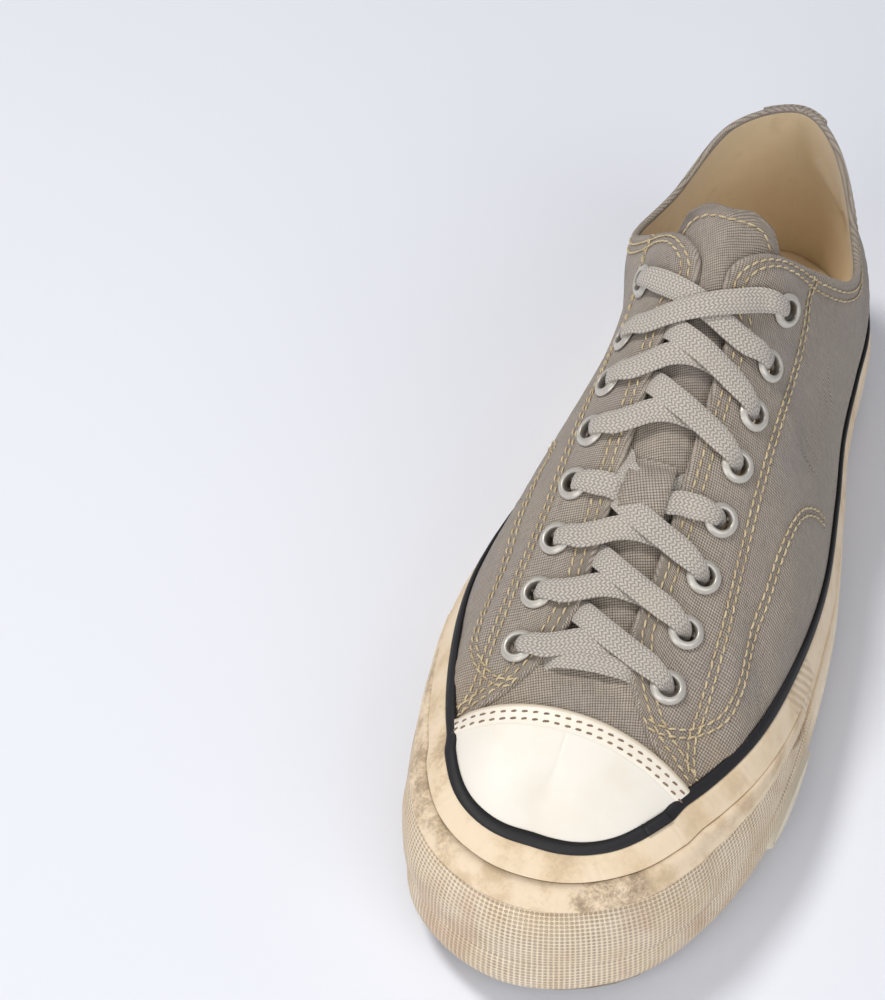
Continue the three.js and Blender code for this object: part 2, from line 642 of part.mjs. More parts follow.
const capSheet = distance => capLoop.map(column => UPPER_ROWS.map(up => capPoint(column, up, distance)));
const capEdge = i => !(capLoop[i].ridge && capLoop[i + 1].ridge);
add('toe_cap', wall(capSheet(capOuter), capSheet(capInner), false, capEdge), CREAM, 0.45);

// Rubber band round the upper, standing on the midsole: its inner face follows the canvas and the cap
const capSkirt = k => (sideRow(k) <= CAP_LAST_COLUMN ? capOuter + 0.5 * SEAM : 0);
const bandInner = k => SEAM + capSkirt(k);
function bandPoint(k, z, distance) {
  const up = columnAt(k, z, distance);
  return columnPoint(k, up, distance).setZ(z);
}

// The black line runs its own width down the surface from the top of the foxing
const trimTop = k => along(PLACES[k], 'foxing').value;
function trimBottom(k) {
  let [low, high] = [0, columnAt(k, trimTop(k), bandInner(k))];
  const edge = columnPoint(k, high, bandInner(k));
  for (let turn = 0; turn < 24; turn += 1) {
    const mid = (low + high) / 2;
    if (columnPoint(k, mid, bandInner(k)).distanceTo(edge) > TRIM_WIDTH) low = mid; else high = mid;
  }
  return columnPoint(k, high, bandInner(k)).z;
}
const bandTop = k => trimBottom(k) - SEAM;
const band = PLACES.map((u, k) => {
  const top = bandTop(k);
  const step = top - STRIP_HEIGHT;
  const upTop = columnAt(k, top, bandInner(k));
  const [base, below] = [along(u, 'base').value, FOXING_THICKNESS - STRIP_STEP];
  const heights = [base, (base + step - STRIP_STEP) / 2, step - STRIP_STEP, step, (step + top) / 2, top];
  const outs = [below, below, below, FOXING_THICKNESS, (FOXING_THICKNESS + FOXING_EDGE) / 2, FOXING_EDGE];
  const ups = UPPER_ROWS.slice(0, heights.length - 1).map(up => Math.min(up, upTop));
  return {
    outer: heights.map((z, j) => bandPoint(k, z, bandInner(k) + outs[j])),
    inner: [...ups.map(up => columnPoint(k, up, bandInner(k))), bandPoint(k, top, bandInner(k))],
  };
});
add('foxing_band', wall(band.map(c => c.outer), band.map(c => c.inner), true), RUBBER, 0.7);

// Black line on the band's top edge
const trim = PLACES.map((_, k) => {
  const heights = [trimBottom(k), trimTop(k)];
  return {
    outer: heights.map((z, j) => bandPoint(k, z, bandInner(k) + TRIM_THICKNESS - TRIM_THINNING * j)),
    inner: heights.map(z => bandPoint(k, z, bandInner(k))),
  };
});
add('foxing_trim', wall(trim.map(c => c.outer), trim.map(c => c.inner), true), DARK, 0.6);

// Thicker strip round the toe, outside the band and below its step, thinning out behind the toe
const BUMPER_LAST_COLUMN = 11;
const BUMPER_PROFILE = [{ level: 0, share: 1 }, { level: 0.45, share: 0.85 }, { level: 1, share: 0.5 }];
const bumperPlaces = Array.from({ length: 2 * BUMPER_LAST_COLUMN + 1 },
  (_, k) => (k - BUMPER_LAST_COLUMN + 2 * HALF) % (2 * HALF));
const bumper = bumperPlaces.map(k => {
  const top = bandTop(k) - STRIP_HEIGHT - STRIP_STEP - SEAM;
  const bottom = along(PLACES[k], 'base').value;
  const inner = bandInner(k) + FOXING_THICKNESS - STRIP_STEP + SEAM;
  const share = sideRow(k) / BUMPER_LAST_COLUMN;
  const thickness = BUMPER_THICKNESS + (BUMPER_END - BUMPER_THICKNESS) * share ** 2;
  const heights = BUMPER_PROFILE.map(({ level }) => bottom + (top - bottom) * level);
  return {
    outer: heights.map((z, j) => bandPoint(k, z, inner + thickness * BUMPER_PROFILE[j].share)),
    inner: heights.map(z => bandPoint(k, z, inner)),
  };
});
add('toe_bumper', wall(bumper.map(c => c.outer), bumper.map(c => c.inner)), RUBBER, 0.7);

// Bare pad on the lateral side of the sole, by the ball
const PATCH_NARROWING = 0.35;
const patchReach = last(lateral(PATCH_CENTRE + STEP), 0).distanceTo(last(lateral(PATCH_CENTRE), 0)) / STEP;
const patchSheet = lift => [-1, -0.5, 0, 0.5, 1].map(place => {
  const u = lateral(PATCH_CENTRE + place * PATCH_LENGTH / 2 / patchReach);
  const half = (1 - PATCH_NARROWING * place ** 2) * PATCH_HEIGHT / FOOTBED_HEIGHT / 2;
  return [-half, 0, half].map(up => soleEdge(u, PATCH_LEVEL + up, lift));
});
add('side_patch', wall(patchSheet(2 * SEAM + PATCH_THICKNESS), patchSheet(2 * SEAM)), RUBBER, 0.6);

// Insole, inside the foot of the upper
const insoleRing = (lift, inset) => PLACES.map((u, k) => {
  const point = last(u, 0).addScaledVector(outward(u), -WALL - SEAM - inset);
  return centred(point.setZ(along(u, 'base').value + lift), onCentre(k));
});
const insoleRings = [insoleRing(0, 0), insoleRing(INSOLE_THICKNESS - INSOLE_EDGE, INSOLE_EDGE / 5),
  insoleRing(INSOLE_THICKNESS, 1.5 * INSOLE_EDGE)];
add('insole', slab(insoleRings), CREAM, 0.9);

// Canvas strip up the back, from the black line to the collar
const stayReach = last(lateral(1), 0).distanceTo(last(lateral(SHARES[HALF - 1]), 0)) / (1 - SHARES[HALF - 1]);
const stayEdge = STAY_WIDTH / 2 / stayReach;
const stayLines = [-1, -0.5, 0, 0.5, 1].map(place => {
  const u = lateral(1 + place * stayEdge);
  return { base: u, top: { u, rise: 1 }, centre: place === 0 };
});
const stayLow = columnAt(HALF, sections[SPANS].foxing + SEAM, SEAM);
const staySheet = distance => stayLines.map(line => [stayLow, ...UPPER_ROWS.filter(up => up > stayLow)]
  .map(up => centred(pointOn(line, up, distance), line.centre)));
add('heel_backstay', wall(staySheet(SEAM + STAY_THICKNESS), staySheet(SEAM)), CANVAS, 0.9);

// Tongue: follows the inside of the flaps, crowned in the slot between them, then rises free above them
const TONGUE_ACROSS = [-1, -0.78, -0.56, -0.36, -0.18, 0, 0.18, 0.36, 0.56, 0.78, 1];
const TONGUE_STATIONS = 10;
const TONGUE_FREE = [
  { share: 0.45, lean: -0.18, flatten: 0 },
  { share: 0.7, lean: -0.05, flatten: 0 },
  { share: 0.86, lean: 0, flatten: 0.4 },
  { share: 1, lean: 0, flatten: 0.6 },
];
const tongueStart = VAMP_LENGTH - TONGUE_TUCK;
const tongueTop = sections[RIDGE_ROWS].topY - TONGUE_RELEASE;
const tongueSkin = -WALL - TONGUE_CLEARANCE;
function tongueLift(x, y) {
  const inSlot = THREE.MathUtils.smoothstep(slotHalf - Math.abs(x), 0, slotHalf);
  const pastVamp = THREE.MathUtils.smoothstep(y, VAMP_LENGTH + 1, VAMP_LENGTH + TONGUE_TUCK);
  return TONGUE_CROWN * inSlot * pastVamp;
}
const tongueRows = Array.from({ length: TONGUE_STATIONS }, (_, k) => {
  const y = tongueStart + (tongueTop - tongueStart) * k / (TONGUE_STATIONS - 1);
  const half = TONGUE_HALF_WIDTH * (1 - TONGUE_TAPER * k / (TONGUE_STATIONS - 1));
  return TONGUE_ACROSS.map(across => {
    const x = half * across;
    const { normal, point } = skinPoint(x, y, tongueSkin + tongueLift(x, y));
    return { outer: point, inner: point.clone().addScaledVector(normal, -TONGUE_THICKNESS) };
  });
});
const lastRow = tongueRows[TONGUE_STATIONS - 1];
const beforeRow = tongueRows[TONGUE_STATIONS - 2];
const middle = (TONGUE_ACROSS.length - 1) / 2;

// The first free rows leave the flaps as each column climbs, the later ones follow the middle and flatten out
TONGUE_FREE.forEach(({ share, lean, flatten }, row) => {
  const before = row > 0 ? TONGUE_FREE[row - 1].share : 0;
  const from = tongueRows[tongueRows.length - 1];
  const clear = flatten > 0;
  tongueRows.push(TONGUE_ACROSS.map((across, k) => {
    const like = clear ? middle : k;
    const climb = lastRow[like].outer.clone().sub(beforeRow[like].outer);
    const tilt = Math.atan2(climb.z, climb.y) + lean;
    const run = TONGUE_BEYOND * (share - before - (share === 1 ? TONGUE_ROUNDING * across * across : 0));
    const rise = flatten * (from[middle].outer.z - from[k].outer.z);
    const narrow = clear ? -across * TONGUE_NARROWING : 0;
    const move = new THREE.Vector3(narrow, Math.cos(tilt) * run, Math.sin(tilt) * run + rise);
    return { outer: from[k].outer.clone().add(move), inner: from[k].inner.clone().add(move) };
  }));
});
const tongueSheet = face => TONGUE_ACROSS.map((_, k) => tongueRows.map(row => row[k][face]));
add('tongue', wall(tongueSheet('outer'), tongueSheet('inner')), CANVAS, 0.9);

// Lace: flat braid laid over the flaps and the slot. A run's stops are given over the plan, with the height
// of its middle above the flaps' surface; ends and crossings of one row are joined into one solid.
const laceHalf = LACE_THICKNESS / 2;
const overEyelet = EYELET_SEAT + FLANGE_THICKNESS + SEAM + laceHalf + LACE_EASE;
const overFlap = SEAM + laceHalf + LACE_EASE;
const inSlot = tongueSkin + SEAM + laceHalf + LACE_EASE;
const overTongue = inSlot + TONGUE_CROWN;
const overLace = LACE_THICKNESS * 0.8;
const LACE_SECTION = [[-1, 0], [-0.8, -1], [0.8, -1], [1, 0], [0.8, 1], [-0.8, 1]];
function laceRun(stops) {
  const points = stops.map(([x, y, height]) => new THREE.Vector3(x, y, height));
  const path = new THREE.CatmullRomCurve3(points, false, 'centripetal');
  const rings = path.getPoints(LACE_STEPS).map(({ x, y, z: height }) => skinPoint(x, y, height));
  const sheet = rings.map(({ point, normal }, k) => {
    const before = rings[Math.max(k - 1, 0)].point;
    const after = rings[Math.min(k + 1, rings.length - 1)].point;
    const wide = normal.clone().cross(after.clone().sub(before)).normalize();
    return LACE_SECTION.map(([across, up]) => point.clone()
      .addScaledVector(wide, across * LACE_WIDTH / 2).addScaledVector(normal, up * laceHalf));
  });
  const soup = [];
  const sides = LACE_SECTION.length;
  for (let k = 0; k + 1 < sheet.length; k += 1) {
    for (let j = 0; j < sides; j += 1) {
      const next = (j + 1) % sides;
      quad(soup, sheet[k][j], sheet[k][next], sheet[k + 1][next], sheet[k + 1][j]);
    }
  }
  const end = sheet[sheet.length - 1];
  for (let j = 1; j + 1 < sides; j += 1) {
    soup.push(sheet[0][0], sheet[0][j + 1], sheet[0][j]);
    soup.push(end[0], end[j], end[j + 1]);
  }
  const solid = toSolid(toGeometry(soup));
  if (solid.volume() > 0) return solid;
  const turned = [];
  for (let k = 0; k < soup.length; k += 3) turned.push(soup[k], soup[k + 2], soup[k + 1]);
  return toSolid(toGeometry(turned));
}
function addLace(name, ...runs) {
  const joined = runs.map(laceRun).reduce((a, b) => a.add(b));
  add(name, fromSolid(joined), LACE_GREY, 0.9);
}
const eye = (side, k) => ({
  ...eyelets[side][k - 1],
  seat: eyeletFrames.find(({ name }) => name === `eyelet_${side}_${k}`).seat,
});

// First stops of a run that leaves an eyelet: flat over its flange, then down to the flap
function fromEyelet({ x, y, seat }, rise) {
  const side = Math.sign(x);
  const edge = x - side * (EYELET_FLANGE / 2 + LACE_EASE);
  const over = overEyelet + seat;
  const release = side * (slotHalf + LACE_RELEASE);
  return [[x, y, over], [edge, y + rise * 0.2, over], [release, y + rise * 0.4, overFlap + LACE_EASE / 2]];
}

// The bar across the bottom of the slot, over the vamp
const barY = EYELET_START - BAR_SETBACK;
const barHeight = overFlap - PLY;
addLace('lace_bar', [[-BAR_HALF, barY, barHeight], [0, barY + 1, barHeight], [BAR_HALF, barY, barHeight]]);

// Each row: the lateral run rises to the medial edge of the slot, over the medial run that goes to meet it
function crossing(k) {
  const right = eye('lateral', k);
  const left = eye('medial', k);
  const over = [...fromEyelet(right, 0.6 * CROSS_RISE),
    [slotHalf - 5, right.y + 0.5 * CROSS_RISE, overFlap + overLace * 0.6],
    [0, right.y + 0.72 * CROSS_RISE, overFlap - 0.2],
    [-slotHalf + 4.2, right.y + 0.9 * CROSS_RISE, inSlot + 0.7]];
  const under = [...fromEyelet(left, CROSS_RISE),
    [-slotHalf + 5, left.y + 0.6 * CROSS_RISE, overFlap - 0.2],
    [slotHalf - 7, right.y + 0.55 * CROSS_RISE, overFlap - 0.3]];
  addLace(`lace_cross_${k}`, over, under);
}
for (const k of [1, 2, 3, 5, 6]) crossing(k);

// The pair through the keeper on the tongue, and the keeper's strap over it
const keeperY = eye('medial', 4).y + KEEPER_LENGTH / 2;
const pairRise = 0.85 * CROSS_RISE;
addLace('lace_keeper_pair', [
  ...fromEyelet(eye('medial', 4), pairRise),
  [-slotHalf + 4, keeperY - 0.5, overTongue + 0.8],
  [0, keeperY, overTongue + 0.5],
  [slotHalf - 4, keeperY - 0.5, overTongue + 0.8],
  ...fromEyelet(eye('lateral', 4), pairRise).reverse(),
]);
const keeperSeat = tongueSkin + TONGUE_CROWN + SEAM;
const keeperArch = LACE_THICKNESS + 2 * SEAM + KEEPER_ROOM;
const KEEPER_ARCH = [{ place: -1, arch: 0 }, { place: -0.72, arch: 0.55 }, { place: -0.45, arch: 1 },
  { place: 0, arch: 1 }, { place: 0.45, arch: 1 }, { place: 0.72, arch: 0.55 }, { place: 1, arch: 0 }];
const keeperSheet = distance => [-1, -0.5, 0, 0.5, 1].map(across => KEEPER_ARCH.map(({ place, arch }) => {
  const lift = keeperSeat + keeperArch * arch + distance;
  return skinPoint(across * KEEPER_WIDTH / 2, keeperY + place * KEEPER_LENGTH / 2, lift).point;
}));
add('lace_keeper', wall(keeperSheet(KEEPER_THICKNESS), keeperSheet(0)), CANVAS, 0.9);

// The top pair crosses between the last two eyelets of each flap
const [topLeft, topRight] = [eye('medial', EYELET_COUNT), eye('lateral', EYELET_COUNT)];
const [lowLeft, lowRight] = [eye('medial', EYELET_COUNT - 1), eye('lateral', EYELET_COUNT - 1)];
const upperRun = [...fromEyelet(lowLeft, 12), [0, lowLeft.y + 10, overFlap + overLace],
  ...fromEyelet(topRight, -4).reverse()];
const lowerRun = [...fromEyelet(topLeft, -6), [0, topLeft.y - 6, overFlap],
  ...fromEyelet(lowRight, 10).reverse()];
addLace('lace_top_cross', upperRun, lowerRun);

// The origin is on the floor under the middle of the shoe
const box = new THREE.Box3().setFromObject(shoe);
const centre = box.getCenter(new THREE.Vector3());
shoe.position.set(-centre.x, -centre.y, -box.min.z);

export default shoe;
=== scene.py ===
# %% [markdown]
# A worn canvas lace-up shoe for the left foot, standing on its sole: grey canvas, a cream rubber toe cap,
# beige rubber strips round the foot, and a flat grey lace through eight pairs of eyelets.
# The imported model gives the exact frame. The pieces below stand in for its faceted solids, and follow the
# same named sizes, so that each lies where its solid lies.
#
# %% Load the frame
import bpy
import math
import numpy as np
from mathutils import Matrix, Vector
from mathutils.bvhtree import BVHTree
from mathutils.kdtree import KDTree


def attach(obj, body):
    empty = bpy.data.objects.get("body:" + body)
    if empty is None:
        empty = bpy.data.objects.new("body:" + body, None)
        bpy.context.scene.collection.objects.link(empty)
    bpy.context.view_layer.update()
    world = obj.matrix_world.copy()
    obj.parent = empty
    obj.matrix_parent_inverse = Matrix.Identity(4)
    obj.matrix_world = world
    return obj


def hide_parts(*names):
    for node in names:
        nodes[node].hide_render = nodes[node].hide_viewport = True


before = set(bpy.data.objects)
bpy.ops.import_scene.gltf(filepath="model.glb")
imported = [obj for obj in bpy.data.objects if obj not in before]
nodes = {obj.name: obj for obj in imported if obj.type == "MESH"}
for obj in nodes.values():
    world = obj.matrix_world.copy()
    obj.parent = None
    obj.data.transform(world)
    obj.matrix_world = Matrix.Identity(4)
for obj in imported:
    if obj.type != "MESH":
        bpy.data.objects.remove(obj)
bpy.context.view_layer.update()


# %% [markdown]
# Shader maths reads best as plain arithmetic. A Signal wraps one output of a node, and each operator on it
# adds the Math node for that step. Colours and vectors have their own nodes, through the same one method.
#
# %% Signals and finishes
class Signal:
    def __init__(self, finish, socket):
        self.finish, self.socket = finish, socket

    def math(self, operation, *others, swap=False):
        values = [self, *others][::-1] if swap else [self, *others]
        return self.finish.node("ShaderNodeMath", {"operation": operation}, dict(enumerate(values)))

    def __add__(self, other): return self.math("ADD", other)
    def __radd__(self, other): return self.math("ADD", other)
    def __sub__(self, other): return self.math("SUBTRACT", other)
    def __rsub__(self, other): return self.math("SUBTRACT", other, swap=True)
    def __mul__(self, other): return self.math("MULTIPLY", other)
    def __rmul__(self, other): return self.math("MULTIPLY", other)
    def __truediv__(self, other): return self.math("DIVIDE", other)
    def __pow__(self, other): return self.math("POWER", other)
    def __abs__(self): return self.math("ABSOLUTE")
    def least(self, other): return self.math("MINIMUM", other)
    def sine(self): return self.math("SINE")
    def fraction(self): return self.math("FRACT")
    def floor(self): return self.math("FLOOR")

    def fold(self):
        """1 at whole numbers, 0 halfway between them, straight in between."""
        return abs(self.fraction() * 2.0 - 1.0)

    def step(self, low, high):
        """0 below low, 1 above high, smooth between; the other way round if low is above high."""
        return self.finish.node("ShaderNodeMapRange", {"interpolation_type": "SMOOTHSTEP", "clamp": True},
                                {"Value": self, "From Min": low, "From Max": high})


def linear(hexadecimal):
    """A colour written as on the web, as the linear values that shaders use."""
    parts = [int(hexadecimal[k:k + 2], 16) / 255 for k in (1, 3, 5)]
    return tuple(p / 12.92 if p <= 0.04045 else ((p + 0.055) / 1.055) ** 2.4 for p in parts) + (1.0,)


FINISHES = {}


class Finish:
    """A material: its Principled shader takes constants as they are, and what varies through nodes."""

    def __init__(self, name, **constants):
        self.material = FINISHES[name] = bpy.data.materials.new(name)
        self.material.use_nodes = True
        self.tree = self.material.node_tree
        self.shader = next(n for n in self.tree.nodes if n.type == "BSDF_PRINCIPLED")
        for socket, value in constants.items():
            self.shader.inputs[socket.replace("_", " ").title().replace("Ior", "IOR")].default_value = value

    def node(self, kind, settings, inputs, output=0):
        node = self.tree.nodes.new(kind)
        for setting, value in settings.items():
            setattr(node, setting, value)
        for key, value in inputs.items():
            socket = node.inputs[key]
            if isinstance(value, Signal):
                self.tree.links.new(value.socket, socket)
            else:
                socket.default_value = value
        return Signal(self, node.outputs[output])

    def place(self):
        """The piece's own place in mm: three values."""
        return self.apart(self.node("ShaderNodeAttribute", {"attribute_name": "place"}, {}, "Vector"))

    def apart(self, where):
        return [self.node("ShaderNodeSeparateXYZ", {}, {"Vector": where}, k) for k in range(3)]

    def point(self):
        """Where on the shoe, in mm."""
        where = self.node("ShaderNodeTexCoord", {}, {}, "Object")
        return self.node("ShaderNodeVectorMath", {"operation": "MULTIPLY"}, {0: where, 1: (1000, 1000, 1000)})

    def noise(self, where, size, detail=3.0, roughness=0.55):
        return self.node("ShaderNodeTexNoise", {}, {"Vector": where, "Scale": 1 / size, "Detail": detail,
                                                    "Roughness": roughness}, "Fac")

    def mix(self, first, second, factor):
        """One colour over another; a colour is a Signal or is written as on the web."""
        first, second = (linear(c) if isinstance(c, str) else c for c in (first, second))
        return self.node("ShaderNodeMix", {"data_type": "RGBA"}, {"Factor": factor, 6: first, 7: second}, 2)

    def vector(self, x, y, z=0.0):
        return self.node("ShaderNodeCombineXYZ", {}, {0: x, 1: y, 2: z})

    def put(self, socket, value):
        self.tree.links.new(value.socket, self.shader.inputs[socket])

    def look(self, colour, relief, roughness=None):
        """The colour, the relief in mm as a bump, and the roughness where it varies."""
        self.put("Base Color", colour)
        bump = {"Height": relief, "Distance": 0.001, "Strength": 1.0}
        self.put("Normal", self.node("ShaderNodeBump", {}, bump, "Normal"))
        if roughness is not None:
            self.put("Roughness", roughness)


# %% [markdown]
# The canvas is a plain weave of grey-brown yarn, a little uneven, darker in its gaps. Its yarns follow the
# piece's own place in mm, not the world, so they bend with the panel. Wear shows as warm stains low down at
# the toes and a paler, dusty tone on the edges.
#
# %% Canvas, lining and threads
YARN = 0.80


def weave(along, across, yarn):
    """Height of a plain weave from 0 in the gaps to 1 on the yarns."""
    a, b = along / yarn, across / yarn
    even = (a.floor() + b.floor()) * 0.5
    over = (even.fraction() * 2.0).step(0.4, 0.6)
    round_a, round_b = 1.0 - a.fold() ** 2.0, 1.0 - b.fold() ** 2.0
    return over * (round_a * (0.45 + 0.55 * round_b)) + (1.0 - over) * (round_b * (0.45 + 0.55 * round_a))


f = Finish("canvas", roughness=0.88, specular_ior_level=0.22, sheen_weight=0.18, sheen_roughness=0.5)
along, across, border = f.place()
spot = f.point()
x, y, z = f.apart(spot)
wobble = f.noise(spot, 3.5, 2.0) * 0.35
turned_a, turned_b = along * 0.94 + across * 0.34 + wobble, across * 0.94 - along * 0.34 + wobble
cloth = weave(turned_a, turned_b, YARN)
yarn_tone = f.noise(f.vector(turned_a / 0.5, turned_b / 6.0), 1.0, 1.0)
yarn_tone_b = f.noise(f.vector(turned_a / 6.0, turned_b / 0.5, 7.0), 1.0, 1.0)
melange = (yarn_tone + yarn_tone_b - 1.0) * 0.9
clouds = f.noise(spot, 28.0, 4.0)
base = f.mix("#6a6056", "#c5b8a8", (cloth * 0.85 + melange * 0.45).step(-0.05, 1.0))
base = f.mix(base, "#8d8390", (clouds.step(0.45, 0.75)) * 0.22)
stain_low = (z.step(62.0, 40.0)) * (y.step(-60.0, -95.0)) * (0.35 + f.noise(spot, 9.0, 4.0)).step(0.55, 1.05)
base = f.mix(base, "#a3886a", stain_low * 0.45)
dust = f.noise(spot, 5.0, 5.0, 0.7).step(0.55, 0.8) * 0.12
base = f.mix(base, "#b8ad9c", dust)
near_seam = border.step(1.8, 0.2)
base = f.mix(base, "#6d655b", near_seam * 0.22)
f.look(base, cloth * 0.20 + melange * 0.04 + f.noise(spot, 6.0, 3.0) * 0.25, 0.82 + cloth * 0.1)

f = Finish("cotton lining", roughness=0.85, specular_ior_level=0.2, sheen_weight=0.25)
along, across, border = f.place()
spot = f.point()
cloth = weave(along, across, 0.6)
soft = f.noise(spot, 14.0, 4.0)
base = f.mix("#e3cba4", "#efdcbb", (cloth * 0.5 + soft * 0.5).step(0.1, 0.9))
f.look(f.mix(base, "#c3a479", soft.step(0.55, 0.8) * 0.4),
       cloth * 0.06 + soft * 0.3 + f.noise(spot, 1.1, 4.0, 0.7) * 0.12)


def thread_finish(name, dark, light):
    f = Finish(name, roughness=0.7, specular_ior_level=0.3, sheen_weight=0.15)
    round_it, along, chance = f.place()
    twist = (along * 9.0 + round_it).sine() * 0.5 + 0.5
    base = f.mix(dark, light, twist * 0.6 + chance * 0.4)
    dirt = f.noise(f.point(), 6.0, 3.0).step(0.5, 0.75) * 0.3
    f.look(f.mix(base, "#a08a68", dirt), twist * 0.07)


thread_finish("cream thread", "#b39a70", "#e6d5b0")
thread_finish("brown thread", "#6b5848", "#9c8670")

# %% [markdown]
# The lace is a flat braid of the same grey, a little paler: strands cross from edge to edge in narrow
# chevrons, with a fuzzy surface.
#
# %% Lace braid
f = Finish("lace braid", roughness=0.9, specular_ior_level=0.18, sheen_weight=0.3, sheen_roughness=0.6)
across, along, face = f.place()
spot = f.point()
drift = f.noise(spot, 2.5, 2.0) * 0.5
slant_a = (along + across * 0.8 + drift) / 1.25
slant_b = (along - across * 0.8 + drift) / 1.25
plait_a, plait_b = 1.0 - slant_a.fold() ** 2.0, 1.0 - slant_b.fold() ** 2.0
turn = ((across / 0.95).floor() * 0.5).fraction() * 2.0
plait = turn.step(0.4, 0.6) * plait_a + (1.0 - turn.step(0.4, 0.6)) * plait_b
rib = 1.0 - (across / 0.95).fold() ** 2.0
braid = plait * (0.4 + 0.6 * rib)
fuzz = f.noise(spot, 0.5, 2.0)
base = f.mix("#8f877e", "#cdc4b9", (braid * 0.8 + fuzz * 0.35).step(0.1, 1.0))
base = f.mix(base, "#c9bba6", f.noise(spot, 12.0, 3.0).step(0.5, 0.75) * 0.25)
f.look(base, braid * 0.22 + fuzz * 0.05, 0.85 + fuzz * 0.1)

# %% [markdown]
# Rubber comes in six finishes here: the smooth cream cap, the cream strip, the dirty second strip, the pitted
# side of the sole, the blank pad and the black line. They share one recipe: a base colour that changes in
# clouds, painted shade in hollows, darker borders, and fine relief. Metal, insole and tread follow.
#
# %% Rubbers
PIT_PITCH = 1.22


def pits(a, b, pitch):
    """Little round pits on a square grid: 1 in a pit's middle, 0 between."""
    u, v = (a / pitch).fraction() - 0.5, (b / pitch).fraction() - 0.5
    return ((u * u + v * v) ** 0.5).step(0.43, 0.24)


f = Finish("cap rubber", roughness=0.42, specular_ior_level=0.42, coat_weight=0.06, coat_roughness=0.35)
across, forth, inset = f.place()
spot = f.point()
clouds = f.noise(spot, 16.0, 4.0)
base = f.mix("#efe9de", "#ece4d5", clouds.step(0.45, 0.7))
edge_tone = inset.step(5.4, 4.6)
base = f.mix(base, "#f3e9d8", edge_tone * 0.7)
base = f.mix(base, "#cbb695", inset.step(0.7, 0.0) * 0.6)
low = f.apart(spot)[2].step(49.0, 42.0)
base = f.mix(base, "#e2d3b6", low * 0.5)
scuff = f.noise(f.vector(across * 0.3, forth, 0.0), 2.5, 6.0, 0.75).step(0.62, 0.78)
base = f.mix(base, "#ddd0b8", scuff * 0.22)
groove = abs(inset - 5.0).step(0.35, 0.05)
f.look(base,
       f.noise(spot, 0.9, 2.0) * 0.012 + clouds * 0.12 - groove * 0.10, 0.36 + clouds * 0.14 + scuff * 0.15)

f = Finish("strip rubber", roughness=0.6, specular_ior_level=0.35)
run, height, share = f.place()
spot = f.point()
clouds, fine = f.noise(spot, 11.0, 5.0), f.noise(spot, 1.6, 5.0, 0.7)
base = f.mix("#edd9bc", "#e2c9a5", clouds.step(0.35, 0.7))
toe_left = share.step(-0.02, -0.10) * share.step(-0.30, -0.16)
toe_front = share.step(-0.05, 0.0) * share.step(0.12, 0.06)
grime = (clouds * 0.7 + fine * 0.5).step(0.56, 0.80)
base = f.mix(base, "#ab9479", grime * (0.18 + 0.55 * toe_left + 0.25 * toe_front))
hatch = ((run + height * 0.6) / 0.9).sine() * ((run - height * 0.6) / 0.9).sine()
patch = (f.noise(f.vector(run / 14.0, 0.0), 1.0, 1.0).step(0.56, 0.62)) * (height.step(6.0, 8.0))
rib = (run / 0.42 + height * 1.2).sine() * 0.5 + 0.5
ribs = share.step(0.335, 0.34) * share.step(0.385, 0.38)
base = f.mix(base, "#b39d84", (ribs * rib * 0.45))
f.look(base, fine * 0.05 + hatch * patch * 0.08 + ribs * rib * 0.18 + clouds * 0.2, 0.5 + fine * 0.25)

f = Finish("dirty rubber", roughness=0.62, specular_ior_level=0.32)
run, height, share = f.place()
spot = f.point()
clouds, fine = f.noise(spot, 8.0, 5.0), f.noise(spot, 1.3, 6.0, 0.75)
base = f.mix("#ecd7ba", "#e0c6a2", clouds.step(0.35, 0.7))
blot = share.step(0.045, 0.06) * share.step(0.13, 0.115)
blot_left = share.step(-0.06, -0.10) * share.step(-0.36, -0.30)
grime = (clouds * 0.6 + fine * 0.6).step(0.52, 0.74)
base = f.mix(base, "#8a7865", grime * (0.20 + 0.60 * blot + 0.42 * blot_left))
base = f.mix(base, "#efe0c6", height.step(3.4, 2.8) * 0.6)
f.look(base, fine * 0.07 + clouds * 0.35, 0.55 + fine * 0.25)

f = Finish("pitted rubber", roughness=0.68, specular_ior_level=0.3)
run, height, share = f.place()
spot = f.point()
clouds, fine = f.noise(spot, 12.0, 5.0), f.noise(spot, 1.2, 5.0, 0.7)
size = abs(share)
toe_zone = size.step(0.385, 0.34)
shallow = f.noise(spot, 7.0, 3.0)
pit = pits(run, height, PIT_PITCH) * toe_zone
diamond = ((run + height) / 1.7).fold().least(((run - height) / 1.7).fold())
nose = share.step(-0.03, 0.0) * share.step(0.06, 0.03) * height.step(31.0, 29.0)
grain = f.noise(f.vector(run / 0.5, height / 9.0), 1.0, 3.0)
base = f.mix("#f6e5cb", "#ecd6b6", clouds.step(0.35, 0.7))
base = f.mix(base, "#d9b49c", f.noise(spot, 17.0, 3.0).step(0.52, 0.70) * 0.35)
# Darker colour in every pit, stronger where a noise is high: painted shade in the pits.
base = f.mix(base, "#9a7e63", pit * (0.25 + 0.60 * shallow))
base = f.mix(base, "#b7a184", (clouds * 0.6 + fine * 0.5).step(0.60, 0.85) * 0.40)
# Greyer in the lowest few mm of the sole's side, towards the floor.
greyer_near_floor = f.apart(spot)[2].step(9.0, 4.0)
base = f.mix(base, "#b5aa98", greyer_near_floor * 0.55)
base = f.mix(base, "#c9b495", grain.step(0.5, 0.75) * (1.0 - toe_zone) * 0.35)
f.look(base,
       0.0 - pit * 0.40 + fine * 0.05 + grain * (1.0 - toe_zone) * 0.10 + diamond * nose * 0.1 + clouds * 0.2,
       0.62 + fine * 0.2)

